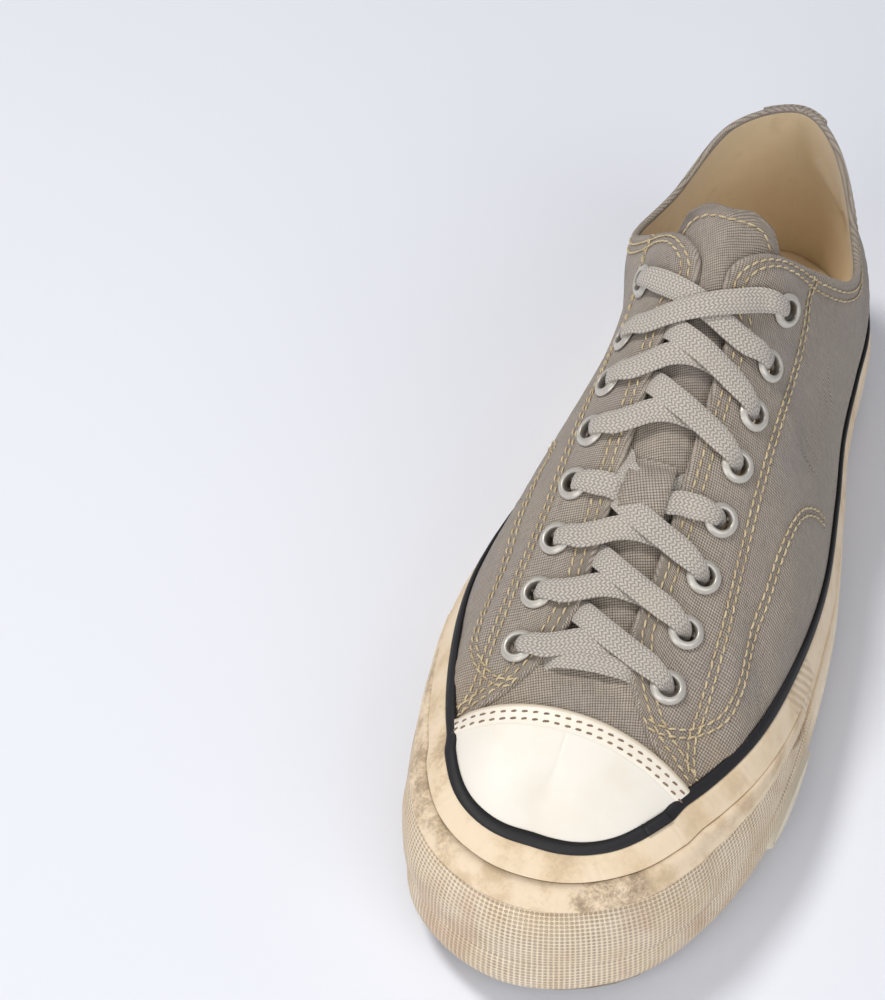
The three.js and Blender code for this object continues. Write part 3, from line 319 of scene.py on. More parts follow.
f = Finish("pad rubber", roughness=0.5, specular_ior_level=0.38)
across, up, hoop = f.place()
spot = f.point()
clouds, fine = f.noise(spot, 6.0, 4.0), f.noise(spot, 1.0, 4.0)
base = f.mix("#eadfc9", "#e0d0b4", clouds)
# The groove round the pad is darkened: painted shade in the groove.
base = f.mix(base, "#a8957b", abs(hoop - 0.845).step(0.05, 0.0) * 0.8)
f.look(f.mix(base, "#b9a68b", (clouds * 0.5 + fine * 0.6).step(0.6, 0.8) * 0.35), fine * 0.04)

f = Finish("black rubber", roughness=0.5, specular_ior_level=0.35)
spot = f.point()
fine = f.noise(spot, 1.4, 5.0, 0.7)
base = f.mix("#1b1b1d", "#29282a", fine)
f.look(f.mix(base, "#7d7368", f.noise(spot, 4.0, 5.0, 0.7).step(0.62, 0.80) * 0.35),
       fine * 0.06, 0.45 + fine * 0.25)

f = Finish("eyelet paint", roughness=0.35, specular_ior_level=0.6, metallic=0.35, coat_weight=0.2,
           coat_roughness=0.3)
px, py, radius = f.place()
spot = f.point()
fine = f.noise(spot, 1.1, 4.0)
base = f.mix("#d2cdc4", "#bdb7ac", fine)
# Darker on the inner wall of each ring's hole: painted shade inside the bore.
f.look(f.mix(base, "#6e675d", radius.step(3.25, 2.85) * 0.8), fine * 0.02, 0.28 + fine * 0.2)

f = Finish("insole cloth", roughness=0.9, specular_ior_level=0.2, sheen_weight=0.2)
spot = f.point()
px, py, _ = f.place()
cloth = weave(px, py, 0.45)
clouds = f.noise(spot, 20.0, 4.0)
base = f.mix("#f2e0c2", "#f8ead2", (cloth * 0.5 + clouds * 0.5).step(0.1, 0.9))
f.look(f.mix(base, "#cdbfa2", clouds.step(0.5, 0.75) * 0.4), cloth * 0.07 + clouds * 0.3)

f = Finish("tread rubber", roughness=0.8, specular_ior_level=0.25)
spot = f.point()
fine, clouds = f.noise(spot, 1.0, 5.0), f.noise(spot, 9.0, 4.0)
base = f.mix("#8c8072", "#a89a87", fine)
f.look(f.mix(base, "#6d6459", clouds.step(0.5, 0.7) * 0.5), fine * 0.12)
for slot_number in range(len(nodes["outsole"].material_slots)):
    nodes["outsole"].material_slots[slot_number].material = FINISHES["tread rubber"]
print("finishes:", len(FINISHES))


# %% [markdown]
# A shoe is made round a last, a wooden or plastic foot. Every piece of this shoe lies on that last or a
# millimetre or so off it, so the last comes first, as a function: a few sections from toe to heel, with
# widths and heights written as shares of the main sizes. The shares and sizes are the ones of the CAD part.
# A function is better than a sculpted mesh here, because panels, seams and stitches can then be placed by
# how far they are round the foot and up its side.
#
# %% Main sizes in millimetres
LENGTH = 287
BALL_WIDTH = 100.6
HEIGHTS = {"toe": 34, "instep": 93, "ankle": 57, "heel": 70}
FOOTBED = 20
TOE_SPRING = 4.5
FOXING_RISE = 27
SOLE_FLARE = 10
ORIGIN = np.array([3.383, 141.188, 0])
COLUMNS = ("along lateral medial spring topAlong topLateral topMedial "
           "toe instep ankle heel rise flare reach drop foxing soleLateral soleMedial").split()
ROWS = [
    (0, 0, 0, 0.8, 0.118, 0, 0, 0.98, 0, 0, 0, 0.74, 0.015, 0.22, 0, 1.04, 0.86, 0.86),
    (0.031, 0.247, 0.232, 0.6, 0.132, 0, 0, 1.03, 0, 0, 0, 0.69, 0.015, 0.26, 0, 1.05, 0.76, 0.78),
    (0.105, 0.405, 0.361, 0.4, 0.174, 0, 0, 1.14, 0, 0, 0, 0.62, 0.015, 0.28, 0, 1.06, 0.58, 0.47),
    (0.209, 0.503, 0.442, 0.2, 0.251, 0, 0, 0.55, 0.28, 0, 0, 0.55, 0.02, 0.3, 0, 0.97, 0.46, 0.42),
    (0.328, 0.519, 0.481, 0, 0.341, 0, 0, 0.15, 0.53, 0, 0, 0.48, 0.02, 0.31, 0, 0.82, 0.46, 0.32),
    (0.453, 0.502, 0.442, 0, 0.432, 0, 0, 0, 0.74, 0, 0, 0.44, 0.02, 0.3, 0, 0.69, 0.44, 0.3),
    (0.568, 0.453, 0.379, 0, 0.557, 0, 0, 0, 0.935, 0, 0, 0.36, 0.02, 0.24, 0.02, 0.61, 0.38, 0.3),
    (0.669, 0.396, 0.334, 0, 0.624, 0.12, 0.12, 0, 1, 0, 0, 0.32, 0.03, 0.16, 0.06, 0.55, 0.32, 0.3),
    (0.767, 0.364, 0.342, 0, 0.724, 0.336, 0.346, 0, 0, 1.1, 0, 0.42, 0.03, 0.04, 0.29, 0.53, 0.3, 0.3),
    (0.861, 0.34, 0.309, 0, 0.829, 0.29, 0.306, 0, 0, 1, 0, 0.46, 0.03, 0.03, 0.32, 0.53, 0.3, 0.3),
    (0.955, 0.229, 0.22, 0, 0.92, 0.159, 0.199, 0, 0, 0, 0.96, 0.42, 0.04, 0.02, 0.3, 0.6, 0.33, 0.32),
    (1, 0, 0, 0, 0.962, 0, 0, 0, 0, 0, 1, 0.43, 0.05, 0.02, 0.31, 0.7, 0.34, 0.34),
]
SPANS = len(ROWS) - 1
ROUND = 2 * SPANS
RIDGE_ROWS = 7
TABLE = [dict(zip(COLUMNS, row)) for row in ROWS]


# %% [markdown]
# The sections are read once round the foot, toe, outer side, heel, inner side, and a Catmull-Rom curve
# runs through each of their values. From the edge of the sole to the top, each section is a Bezier curve.
#
# %% The last as a function
def spread_out(a, b):
    """Two values, lists or arrays as arrays of numbers of one shape."""
    return np.broadcast_arrays(np.asarray(a, float), np.asarray(b, float))


def section(k):
    side = 1 if k <= SPANS else -1
    row = TABLE[k if k <= SPANS else ROUND - k]
    base = FOOTBED + TOE_SPRING * row["spring"]
    top = FOOTBED + sum(size * row[name] for name, size in HEIGHTS.items())
    return {
        "x": side * BALL_WIDTH * row["lateral" if side > 0 else "medial"],
        "y": LENGTH * row["along"],
        "base": base,
        "topX": side * BALL_WIDTH * row["topLateral" if side > 0 else "topMedial"],
        "topY": LENGTH * row["topAlong"],
        "top": top,
        "rise": (top - base) * row["rise"],
        "flare": BALL_WIDTH * row["flare"],
        "reach": BALL_WIDTH * row["reach"],
        "drop": (top - base) * row["drop"],
        "foxing": FOOTBED + FOXING_RISE * row["foxing"],
        "sole": SOLE_FLARE * row["soleLateral" if side > 0 else "soleMedial"],
    }


SECTIONS = [section(k) for k in range(ROUND)]
TRACKS = {name: np.array([s[name] for s in SECTIONS]) for name in SECTIONS[0]}
RIDGE_SLOPES = np.zeros(SPANS + 2)
for k in range(RIDGE_ROWS):
    low, high = SECTIONS[max(k - 1, 0)], SECTIONS[min(k + 1, RIDGE_ROWS - 1)]
    RIDGE_SLOPES[k] = (high["top"] - low["top"]) / (high["topY"] - low["topY"])


def track(u, name):
    """Value and slope of one column of the table at the place u round the foot."""
    u = np.asarray(u, float)
    k = np.floor(u).astype(int)
    f = u - k
    p, q, r, s = (TRACKS[name][(k + step) % ROUND] for step in (-1, 0, 1, 2))
    bend = 2 * p - 5 * q + 4 * r - s
    twist = -p + 3 * q - 3 * r + s
    value = 0.5 * (2 * q + (r - p) * f + bend * f ** 2 + twist * f ** 3)
    return value, 0.5 * (r - p + 2 * bend * f + 3 * twist * f ** 2)


def ridge_slope(u):
    place = np.minimum(u % ROUND, ROUND - u % ROUND)
    return np.interp(place, np.arange(SPANS + 2), RIDGE_SLOPES)


def outward(u):
    across, forth = track(u, "y")[1], -track(u, "x")[1]
    size = np.hypot(across, forth)
    return np.stack([across / size, forth / size, np.zeros_like(size)], -1)


def last(u, rise):
    """Point of the last at u round the foot, rise 0 at the sole's edge and 1 at the top."""
    u, rise = spread_out(u, rise)
    out = outward(u)
    read = {name: track(u, name)[0] for name in TRACKS}
    foot = np.stack([read["x"], read["y"], read["base"]], -1)
    low = foot + out * read["flare"][..., None]
    low[..., 2] += read["rise"]
    top = np.stack([read["topX"], read["topY"], read["top"]], -1)
    high = top + out * read["reach"][..., None]
    high[..., 2] += ridge_slope(u) * out[..., 1] * read["reach"] - read["drop"]
    t = rise[..., None]
    return foot * (1 - t) ** 3 + low * 3 * (1 - t) ** 2 * t + high * 3 * (1 - t) * t ** 2 + top * t ** 3


def around(count):
    """Angles spaced evenly round a circle."""
    return np.linspace(0, 2 * np.pi, count, endpoint=False)


def unit(v):
    return v / np.maximum(np.linalg.norm(v, axis=-1, keepdims=True), 1e-12)


NUDGE = 0.01
RIDGE_BACKOFF = 0.97


def last_normal(u, rise):
    u, rise = spread_out(u, rise)
    at = np.minimum(rise, RIDGE_BACKOFF)
    by_u = last(u + NUDGE, at) - last(u - NUDGE, at)
    by_rise = last(u, at + NUDGE) - last(u, at - NUDGE)
    return unit(np.cross(by_u, by_rise))


def shell(u, rise, distance=0.0):
    """The last moved out by a distance; where the two sides meet over the foot, the ridge stays level."""
    u, rise = spread_out(u, rise)
    normal = last_normal(u, rise)
    place = np.minimum(u % ROUND, ROUND - u % ROUND)
    ridge = np.stack([np.zeros_like(u), -ridge_slope(u), np.ones_like(u)], -1)
    share = np.clip((rise - 0.9) / 0.1, 0, 1) * (place < RIDGE_ROWS - 1)
    normal = unit(normal * (1 - share[..., None]) + unit(ridge) * share[..., None])
    return last(u, rise) + normal * np.asarray(distance, float)[..., None]


# %% [markdown]
# Laces, eyelets and the tongue are easier to place seen from above, so locate() turns a point of the plan
# into its place on the last, by Newton's steps from the nearest of a coarse grid of points.
#
# %% From the plan to the surface
GRID_SHARE, GRID_RISE = np.meshgrid(np.linspace(0, 1, 61), np.linspace(0.4, 1.0, 13), indexing="ij")


def locate(x, y):
    """Places (u, rise) of the last above points of the plan, on the side that x is on."""
    x, y = spread_out(x, y)
    side = np.where(x < 0, -1, 1)
    place = lambda share: np.where(side > 0, SPANS * share, ROUND - SPANS * share)
    seeds = {s: last(SPANS * GRID_SHARE if s > 0 else ROUND - SPANS * GRID_SHARE, GRID_RISE) for s in (1, -1)}
    share, rise = np.empty(x.shape), np.empty(x.shape)
    for at in np.ndindex(x.shape):
        grid = seeds[int(side[at])]
        nearest = np.argmin(np.hypot(grid[..., 0] - x[at], grid[..., 1] - y[at]))
        share[at], rise[at] = GRID_SHARE.flat[nearest], GRID_RISE.flat[nearest]
    tiny = 0.001
    for _ in range(8):
        here = last(place(share), rise)
        by_share = (last(place(share + tiny), rise) - here) / tiny
        by_rise = (last(place(share), rise + tiny) - here) / tiny
        det = by_share[..., 0] * by_rise[..., 1] - by_share[..., 1] * by_rise[..., 0]
        dx, dy = x - here[..., 0], y - here[..., 1]
        share = np.clip(share + (dx * by_rise[..., 1] - dy * by_rise[..., 0]) / det, 0.02, 0.98)
        rise = np.clip(rise + (by_share[..., 0] * dy - by_share[..., 1] * dx) / det, 0.2, 1.3)
    return place(share), rise


def halved(low, high, is_below, turns=26):
    """Where a condition stops holding, by halving the spans between two arrays: ends of the last spans."""
    for _ in range(turns):
        mid = (low + high) / 2
        below = is_below(mid)
        low, high = np.where(below, mid, low), np.where(below, high, mid)
    return low, high


SLOT_HALF = 10
CROWN_HALF = 0.8 * SLOT_HALF


def skin(x, y):
    """Height of the closed last over the plan, gently crowned over the slot."""
    x, y = spread_out(x, y)
    height = lambda at: last(*locate(at, y))[..., 2]
    ends = [height(np.full(x.shape, s * CROWN_HALF)) for s in (-1, 1)]
    nexts = [height(np.full(x.shape, s * (CROWN_HALF + 1))) for s in (-1, 1)]
    share = (x / CROWN_HALF + 1) / 2
    fall = (ends[0] - nexts[0] + ends[1] - nexts[1]) / 2
    crown = ends[0] * (1 - share) + ends[1] * share + fall * (CROWN_HALF ** 2 - x * x) / (2 * CROWN_HALF)
    sides = height(np.where(np.abs(x) < CROWN_HALF, np.copysign(CROWN_HALF, x), x))
    return np.where(np.abs(x) < CROWN_HALF, crown, sides)


def over_plan(x, y, distance=0.0):
    """Points some distance off the closed last above the plan, with the surface's normals."""
    x, y = spread_out(x, y)
    slope_x = (skin(x + 1, y) - skin(x - 1, y)) / 2
    slope_y = (skin(x, y + 1) - skin(x, y - 1)) / 2
    normal = unit(np.stack([-slope_x, -slope_y, np.ones_like(slope_x)], -1))
    point = np.stack([x, y, skin(x, y)], -1)
    return point + normal * np.asarray(distance, float)[..., None], normal


# %% [markdown]
# Worn canvas isn't a smooth shell. It folds across the ball of the foot where the toes bend, sinks between
# the eyelets and the sole, and waves along the collar. The main creases are listed one by one, each as a soft
# trough or ridge along a short line on the surface, because a noise would put them where a foot never does.
# Every piece that lies on the canvas reads the same function, so seams and stitches follow the folds.
#
# %% Soft creases of the canvas
# side (1 outer, -1 inner), from (share, rise), to (share, rise), half width in mm, depth in mm (minus: in)
CREASES = [
    (1, (0.215, 0.42), (0.30, 0.80), 4.0, -0.9), (1, (0.25, 0.36), (0.345, 0.66), 4.0, 0.7),
    (1, (0.31, 0.36), (0.38, 0.60), 5.0, -1.0), (1, (0.37, 0.34), (0.45, 0.50), 6.0, 0.6),
    (1, (0.50, 0.45), (0.62, 0.40), 9.0, -1.3), (1, (0.60, 0.62), (0.70, 0.80), 7.0, -0.9),
    (1, (0.74, 0.55), (0.86, 0.70), 8.0, -1.2), (1, (0.80, 0.35), (0.92, 0.42), 7.0, 0.7),
    (-1, (0.205, 0.45), (0.27, 0.80), 4.0, -1.0), (-1, (0.245, 0.38), (0.33, 0.64), 4.5, 0.7),
    (-1, (0.31, 0.38), (0.39, 0.62), 5.0, -1.1), (-1, (0.42, 0.36), (0.52, 0.56), 8.0, -1.2),
    (-1, (0.56, 0.50), (0.66, 0.74), 7.0, -0.9), (-1, (0.72, 0.50), (0.84, 0.66), 8.0, -1.2),
    (-1, (0.80, 0.34), (0.93, 0.40), 7.0, 0.7), (1, (0.90, 0.55), (0.96, 0.75), 6.0, -0.7),
    (1, (0.225, 0.88), (0.235, 1.00), 3.5, -0.8), (-1, (0.225, 0.88), (0.235, 1.00), 3.5, -0.8),
    (1, (0.255, 0.86), (0.262, 1.00), 3.0, 0.5), (-1, (0.255, 0.86), (0.262, 1.00), 3.0, 0.5),
]


def on_side(side, share):
    return (SPANS * share) % ROUND if side > 0 else (ROUND - SPANS * share) % ROUND


CREASE_LINES = []
for side, start, end, width, depth in CREASES:
    steps = np.linspace(0, 1, 9)
    shares = start[0] + (end[0] - start[0]) * steps
    rises = start[1] + (end[1] - start[1]) * steps
    fade = np.sin(np.pi * (0.1 + 0.8 * steps))
    CREASE_LINES.append((last(on_side(side, shares), rises), width, 1.3 * depth * fade))


def crease(points):
    """How far the canvas stands in or out at points of the last."""
    total = np.zeros(points.shape[:-1])
    for line, width, depth in CREASE_LINES:
        gap = np.linalg.norm(points[..., None, :] - line, axis=-1)
        near = gap.argmin(-1)
        total += depth[near] * np.exp(-(gap.min(-1) / width) ** 2)
    return total


def canvas(u, rise, distance=0.0):
    """Point of the canvas: the last, moved out by a distance, with its creases."""
    return shell(u, rise, distance + crease(last(u, rise)))


print("creases:", len(CREASES))


# %% [markdown]
# Canvas, rubber and foam all start as a sheet: a grid of points on the last. A sheet becomes a solid when a
# second sheet is laid under it and a rounded hem joins their edges. Folded canvas has just such a round
# edge, and it catches the light, where a sharp cut would look like paper.
#
# %% Meshes from sheets of points
def make_piece(name, points, faces, finishes, stands_for, place, which=None):
    """A mesh object in the frame, with its place on the cloth or rubber kept as an attribute in mm."""
    mesh = bpy.data.meshes.new(name)
    corners = (np.asarray(points, float) - ORIGIN) / 1000
    mesh.from_pydata(corners.tolist(), [], [list(map(int, face)) for face in faces])
    mesh.polygons.foreach_set("use_smooth", np.ones(len(mesh.polygons), bool))
    spot = mesh.attributes.new("place", "FLOAT_VECTOR", "POINT")
    spot.data.foreach_set("vector", np.asarray(place, float).ravel())
    for finish in finishes:
        mesh.materials.append(FINISHES[finish])
    if which is not None:
        mesh.polygons.foreach_set("material_index", np.asarray(which, np.int32))
    mesh.update()
    piece = bpy.data.objects.new(name, mesh)
    bpy.context.scene.collection.objects.link(piece)
    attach(piece, "root")
    if stands_for:
        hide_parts(*stands_for)
    triangles = sum(len(face) - 2 for face in faces)
    print(f"{name}: {len(points)} points, {triangles} triangles")


def grid_faces(columns, rows, closed=False):
    i, j = np.meshgrid(np.arange(columns if closed else columns - 1), np.arange(rows - 1), indexing="ij")
    k = (i + 1) % columns
    return np.stack([i * rows + j, k * rows + j, k * rows + j + 1, i * rows + j + 1], -1).reshape(-1, 4)


def lengths(points, axis):
    """Running length along one axis of a grid of points."""
    step = np.linalg.norm(np.diff(points, axis=axis), axis=-1)
    start = np.zeros_like(np.take(step, [0], axis=axis))
    return np.concatenate([start, np.cumsum(step, axis=axis)], axis=axis)


def read_at(at, run, rows):
    """Rows of values, read between their neighbours at places along their running length."""
    return np.stack([np.interp(at, run, column) for column in rows.T], -1)


def weld(points, faces, *others, tolerance=0.02):
    """Joins points that fall on the same spot, as along the ridge where two halves of a sheet meet."""
    _, first, back = np.unique(np.round(points / tolerance).astype(np.int64), axis=0,
                                  return_index=True, return_inverse=True)
    back = back.ravel()
    joined = [list(dict.fromkeys(back[face])) for face in faces]
    return (points[first], [face for face in joined if len(face) > 2], *[other[first] for other in others])


HEM_STEPS = 5


def solid_sheet(outer, inner, faces, place):
    """Outer and inner sheets with a rounded hem. Returns points, faces, places and a part number per face."""
    count = len(outer)
    once = {}
    for face in faces:
        for a, b in zip(face, np.roll(face, -1)):
            if (b, a) in once:
                del once[(b, a)]
            else:
                once[(a, b)] = True
    normal = unit(outer - inner)
    away = np.zeros_like(outer)
    for a, b in once:
        side = np.cross(outer[b] - outer[a], normal[a])
        side /= max(np.linalg.norm(side), 1e-9)
        away[a] += side
        away[b] += side
    points, places = [outer, inner], [place, place]
    every = [list(face) for face in faces] + [[v + count for v in reversed(face)] for face in faces]
    parts = [0] * len(faces) + [1] * len(faces)
    rim = sorted({v for edge in once for v in edge})
    index, total = {}, 2 * count
    for v in rim:
        middle, half = (outer[v] + inner[v]) / 2, (outer[v] - inner[v]) / 2
        out = unit(away[v]) * np.linalg.norm(half)
        turn = np.pi * np.arange(1, HEM_STEPS) / HEM_STEPS
        points.append(middle + half * np.cos(turn)[:, None] + out * np.sin(turn)[:, None])
        places.append(place[v] + np.outer(turn * np.linalg.norm(half), [0.7, 0.7, 0.0]))
        index[v] = [v, *range(total, total + HEM_STEPS - 1), v + count]
        total += HEM_STEPS - 1
    for a, b in once:
        for low in range(HEM_STEPS):
            every.append([index[b][low], index[a][low], index[a][low + 1], index[b][low + 1]])
            parts.append(2)
    return np.concatenate(points), every, np.concatenate(places), np.array(parts)


def make_sheet(name, outer, inner, faces, place, finishes, stands_for):
    """A sheet made solid, as a piece; a second finish, if there is one, goes on its inner side."""
    points, every, places, parts = solid_sheet(outer, inner, faces, place)
    which = np.where((parts == 1) & (len(finishes) > 1), 1, 0)
    make_piece(name, points, every, finishes, stands_for, places, which)


# %% [markdown]
# The flaps that carry the eyelets are the front parts of the two quarters. One free edge runs from the
# rubber up round the flap's rounded front corner, along the slot, round the top corner and along the collar
# to the heel. It is listed as places on the last, and each quarter is a grid whose columns all start in the
# rubber and end on that edge, so its border is smooth and its grid follows the threads.
#
# %% The free edge and the quarters
PLY, WALL = 1.2, 2.4
THROAT = 66
QUARTER_START = 0.203
FRONT_RISES = [0.00, 0.30, 0.50, 0.62, 0.74, 0.80, 0.85, 0.89, 0.92, 0.944]
FRONT_SHARES = [0.203, 0.205, 0.208, 0.2115, 0.2175, 0.226, 0.238, 0.252, 0.270, 0.291]
SLOT_EDGE = {1: ([76, 90, 110, 160], [8.2, 9.6, 10, 10]), -1: ([78, 90, 110, 160], [9.4, 9.8, 10, 10])}
SLOT_END = 160
CORNER_END, CORNER_BEND = 0.628, 0.020


def to_share(u):
    return np.minimum(u, ROUND - u) / SPANS


def resample(path, count):
    """Points spaced evenly along a path of (share, rise, x, y, z) rows, by its length in space."""
    run = lengths(path[None, :, 2:5], 1)[0]
    at = np.linspace(0, run[-1], count)
    return read_at(at, run, path), at


def with_points(side, shares, rises):
    shares, rises = np.asarray(shares, float), np.asarray(rises, float)
    return np.column_stack([shares, rises, last(on_side(side, shares), rises)])


def free_edge(side):
    """Places of a quarter's slot edge, top corner and collar."""
    ys = np.linspace(SLOT_EDGE[side][0][0], SLOT_END, 40)
    xs = np.interp(ys, *SLOT_EDGE[side])
    u, rise = locate(side * xs, ys)
    slot = np.column_stack([to_share(u), rise])
    start = slot[-1]
    bend = np.array([start[0] + CORNER_BEND, 0.995])
    t = np.linspace(0, 1, 16)[1:, None]
    corner = start * (1 - t) ** 2 + bend * 2 * t * (1 - t) + np.array([CORNER_END, 1.0]) * t ** 2
    collar = np.column_stack([np.linspace(CORNER_END, 1, 80)[1:], np.ones(79)])
    every = np.concatenate([slot, corner, collar])
    return with_points(side, every[:, 0], every[:, 1])


QUARTER_COLUMNS, QUARTER_ROWS = 300, 76
FRONT_SPREAD = 0.16


def quarter_grid(side):
    """u and rise of a quarter's grid; the first columns follow the flap's curved front edge."""
    edge, _ = resample(free_edge(side), QUARTER_COLUMNS)
    s = np.linspace(0, 1, QUARTER_COLUMNS)
    foot = with_points(side, np.linspace(QUARTER_START, 1, 200), np.zeros(200))
    foot, _ = resample(foot, QUARTER_COLUMNS)
    v = np.linspace(0, 1, QUARTER_ROWS)
    front_rise = np.array(FRONT_RISES) / FRONT_RISES[-1]
    front_shape = (np.array(FRONT_SHARES) - FRONT_SHARES[0]) / (FRONT_SHARES[-1] - FRONT_SHARES[0])
    smooth = smooth_through(front_rise, front_shape, v)
    ease = np.clip(s / FRONT_SPREAD, 0, 1)[:, None]
    ease = ease * ease * (3 - 2 * ease)
    shape = smooth * (1 - ease) + v * ease
    share = foot[:, :1] + (edge[:, :1] - foot[:, :1]) * shape
    return on_side(side, share), edge[:, 1:2] * v


def smooth_through(xs, ys, at):
    """A smooth curve through a few points: Hermite pieces with the mean of the slopes beside each."""
    xs, ys = np.asarray(xs, float), np.asarray(ys, float)
    slope = np.diff(ys) / np.diff(xs)
    tangent = np.concatenate([slope[:1], (slope[1:] + slope[:-1]) / 2, slope[-1:]])
    k = np.clip(np.searchsorted(xs, at, "right") - 1, 0, len(xs) - 2)
    width = xs[k + 1] - xs[k]
    t = (at - xs[k]) / width
    return (ys[k] * (1 + 2 * t) * (1 - t) ** 2 + tangent[k] * width * t * (1 - t) ** 2
            + ys[k + 1] * t * t * (3 - 2 * t) + tangent[k + 1] * width * t * t * (t - 1))


def smooth_at(at, run, rows):
    """Rows of values, read from the smooth curves through them at places along their run."""
    return np.stack([smooth_through(run, column, at) for column in rows.T], -1)


# %% [markdown]
# The eyelets are rings set evenly along both flaps, 16.5 mm apart over the curve of the instep, with two
# bare vents low on the inner side. Canvas is stiff beside a ring, so the creases fade out round each.
#
# %% Places of the eyelets
EYELET_COUNT, EYELET_START, EYELET_PITCH, EYELET_SPREAD = 8, 64, 16.5, 21
BARREL, FLANGE, SEAT, FLANGE_THICKNESS = 3.6, 5.75, 0.8, 0.8
VENTS = [(0.58, 0.225), (0.655, 0.23)]
VENT_SIZE = 0.8


def eyelet_places(side):
    places, y = [], EYELET_START
    for _ in range(EYELET_COUNT):
        places.append((side * EYELET_SPREAD, y))
        low, high = skin(np.full(2, side * EYELET_SPREAD), np.array([y, y + 1.0]))
        y += EYELET_PITCH / math.hypot(1, high - low)
    return places


def eyelet_seat(u, rise, size):
    """How high a ring has to stand for its flange to clear the curved canvas all round."""
    point, normal = last(u, rise), last_normal(u, rise)
    reach = size * FLANGE
    turn = around(8)
    span_u = reach / np.linalg.norm(last(u + 0.5, rise) - last(u - 0.5, rise))
    span_rise = 0.1 * reach / np.linalg.norm(last(u, rise + 0.05) - last(u, rise - 0.05))
    beside = last(u + span_u * np.cos(turn), rise + span_rise * np.sin(turn))
    return max(0.0, float(((beside - point) @ normal).max()))


PLACES = {1: eyelet_places(1), -1: eyelet_places(-1)}
RINGS = []
for side in (1, -1):
    for number, (x, y) in enumerate(PLACES[side], 1):
        u, rise = (float(v[0]) for v in locate([x], [y]))
        node = f"eyelet_{'lateral' if side > 0 else 'medial'}_{number}"
        RINGS.append({"node": node, "side": side, "number": number, "x": x, "y": y, "u": u, "rise": rise,
                      "size": 1.0, "seat": eyelet_seat(u, rise, 1.0)})
for number, (share, rise) in enumerate(VENTS, 1):
    u = float(on_side(-1, share))
    RINGS.append({"node": f"vent_medial_{number}", "side": -1, "number": number, "u": u, "rise": rise,
                  "size": VENT_SIZE, "seat": eyelet_seat(u, rise, VENT_SIZE)})
RING_POINTS = np.array([last(ring["u"], ring["rise"]) for ring in RINGS])
RING_STIFFNESS = 8.0
plain_crease = crease


def crease(points):
    """The creases, fading out beside each ring."""
    near = np.linalg.norm(points[..., None, :] - RING_POINTS, axis=-1).min(-1)
    return plain_crease(points) * (1 - np.exp(-(near / RING_STIFFNESS) ** 2))


print("eyelet rows at", [round(y, 1) for _, y in PLACES[1]])

# %% Quarter sheets
QUARTERS = {}
for side in (1, -1):
    u, rise = quarter_grid(side)
    QUARTERS[side] = {"u": u, "rise": rise, "outer": canvas(u, rise)}


class Ground:
    """A sheet that stitches and strips are laid on: the nearest point of it, and which way is out."""

    def __init__(self, points, faces, inside):
        self.tree = BVHTree.FromPolygons(np.asarray(points).tolist(), [list(map(int, f)) for f in faces])
        self.inside = inside

    def drop(self, points):
        places, normals = [], []
        for point in np.asarray(points):
            place, normal, _, _ = self.tree.find_nearest(point.tolist())
            place, normal = np.array(place), np.array(normal)
            if normal @ (place - self.inside(place)) < 0:
                normal = -normal
            places.append(place)
            normals.append(normal)
        return np.array(places), unit(np.array(normals))


def middle_of_foot(place):
    return np.array([0.0, np.clip(place[1], 40, 240), 45.0])


# %% [markdown]
# Two rows of stitches run inside every edge of the canvas, and two more rows bound the strip that carries
# the eyelets and the patch of canvas over the ball of the foot. The rows are laid out first as lines on the
# sheets, because the thread also pulls the canvas in, so the sheets need to know where it goes.
#
# %% Lines of stitches
EDGE_ROWS = (1.9, 4.6)
CLEAR_ROW = 24
STAY_LINE = [(194, 25.0), (179, 26.2), (161, 26.8), (136, 27.2), (116, 27.8), (94, 29.0), (77, 29.8),
             (62, 30.4), (52, 30.8), (45, 33.2)]
BALL_LINE = [(0.497, 0.27), (0.484, 0.37), (0.468, 0.445), (0.447, 0.492), (0.42, 0.517), (0.385, 0.523),
             (0.34, 0.523), (0.30, 0.515), (0.275, 0.525), (0.256, 0.572), (0.24, 0.64), (0.2295, 0.72),
             (0.2275, 0.79)]
BALL_SCALE = [300, 60]
ROW_GAP = 2.1
SPACING = 0.5


def evenly(path, spacing=SPACING):
    run = lengths(path[None], 1)[0]
    return read_at(np.arange(0, run[-1], spacing), run, path)


def curve_through(points, spacing=SPACING):
    chord = lengths(points[None], 1)[0]
    return smooth_at(np.linspace(0, chord[-1], max(int(chord[-1] / spacing), 8) * 2), chord, points)


def eased(path, reach):
    """The path with its inner points averaged over a few neighbours on each side."""
    window = np.ones(2 * reach + 1) / (2 * reach + 1)
    path[reach:-reach] = np.stack([np.convolve(column, window, "valid") for column in path.T], -1)
    return path


def beside(path, normals, gap):
    """The line a gap to one side of a line on a sheet."""
    forward = np.gradient(path, axis=0)
    return path + unit(np.cross(normals, forward)) * gap


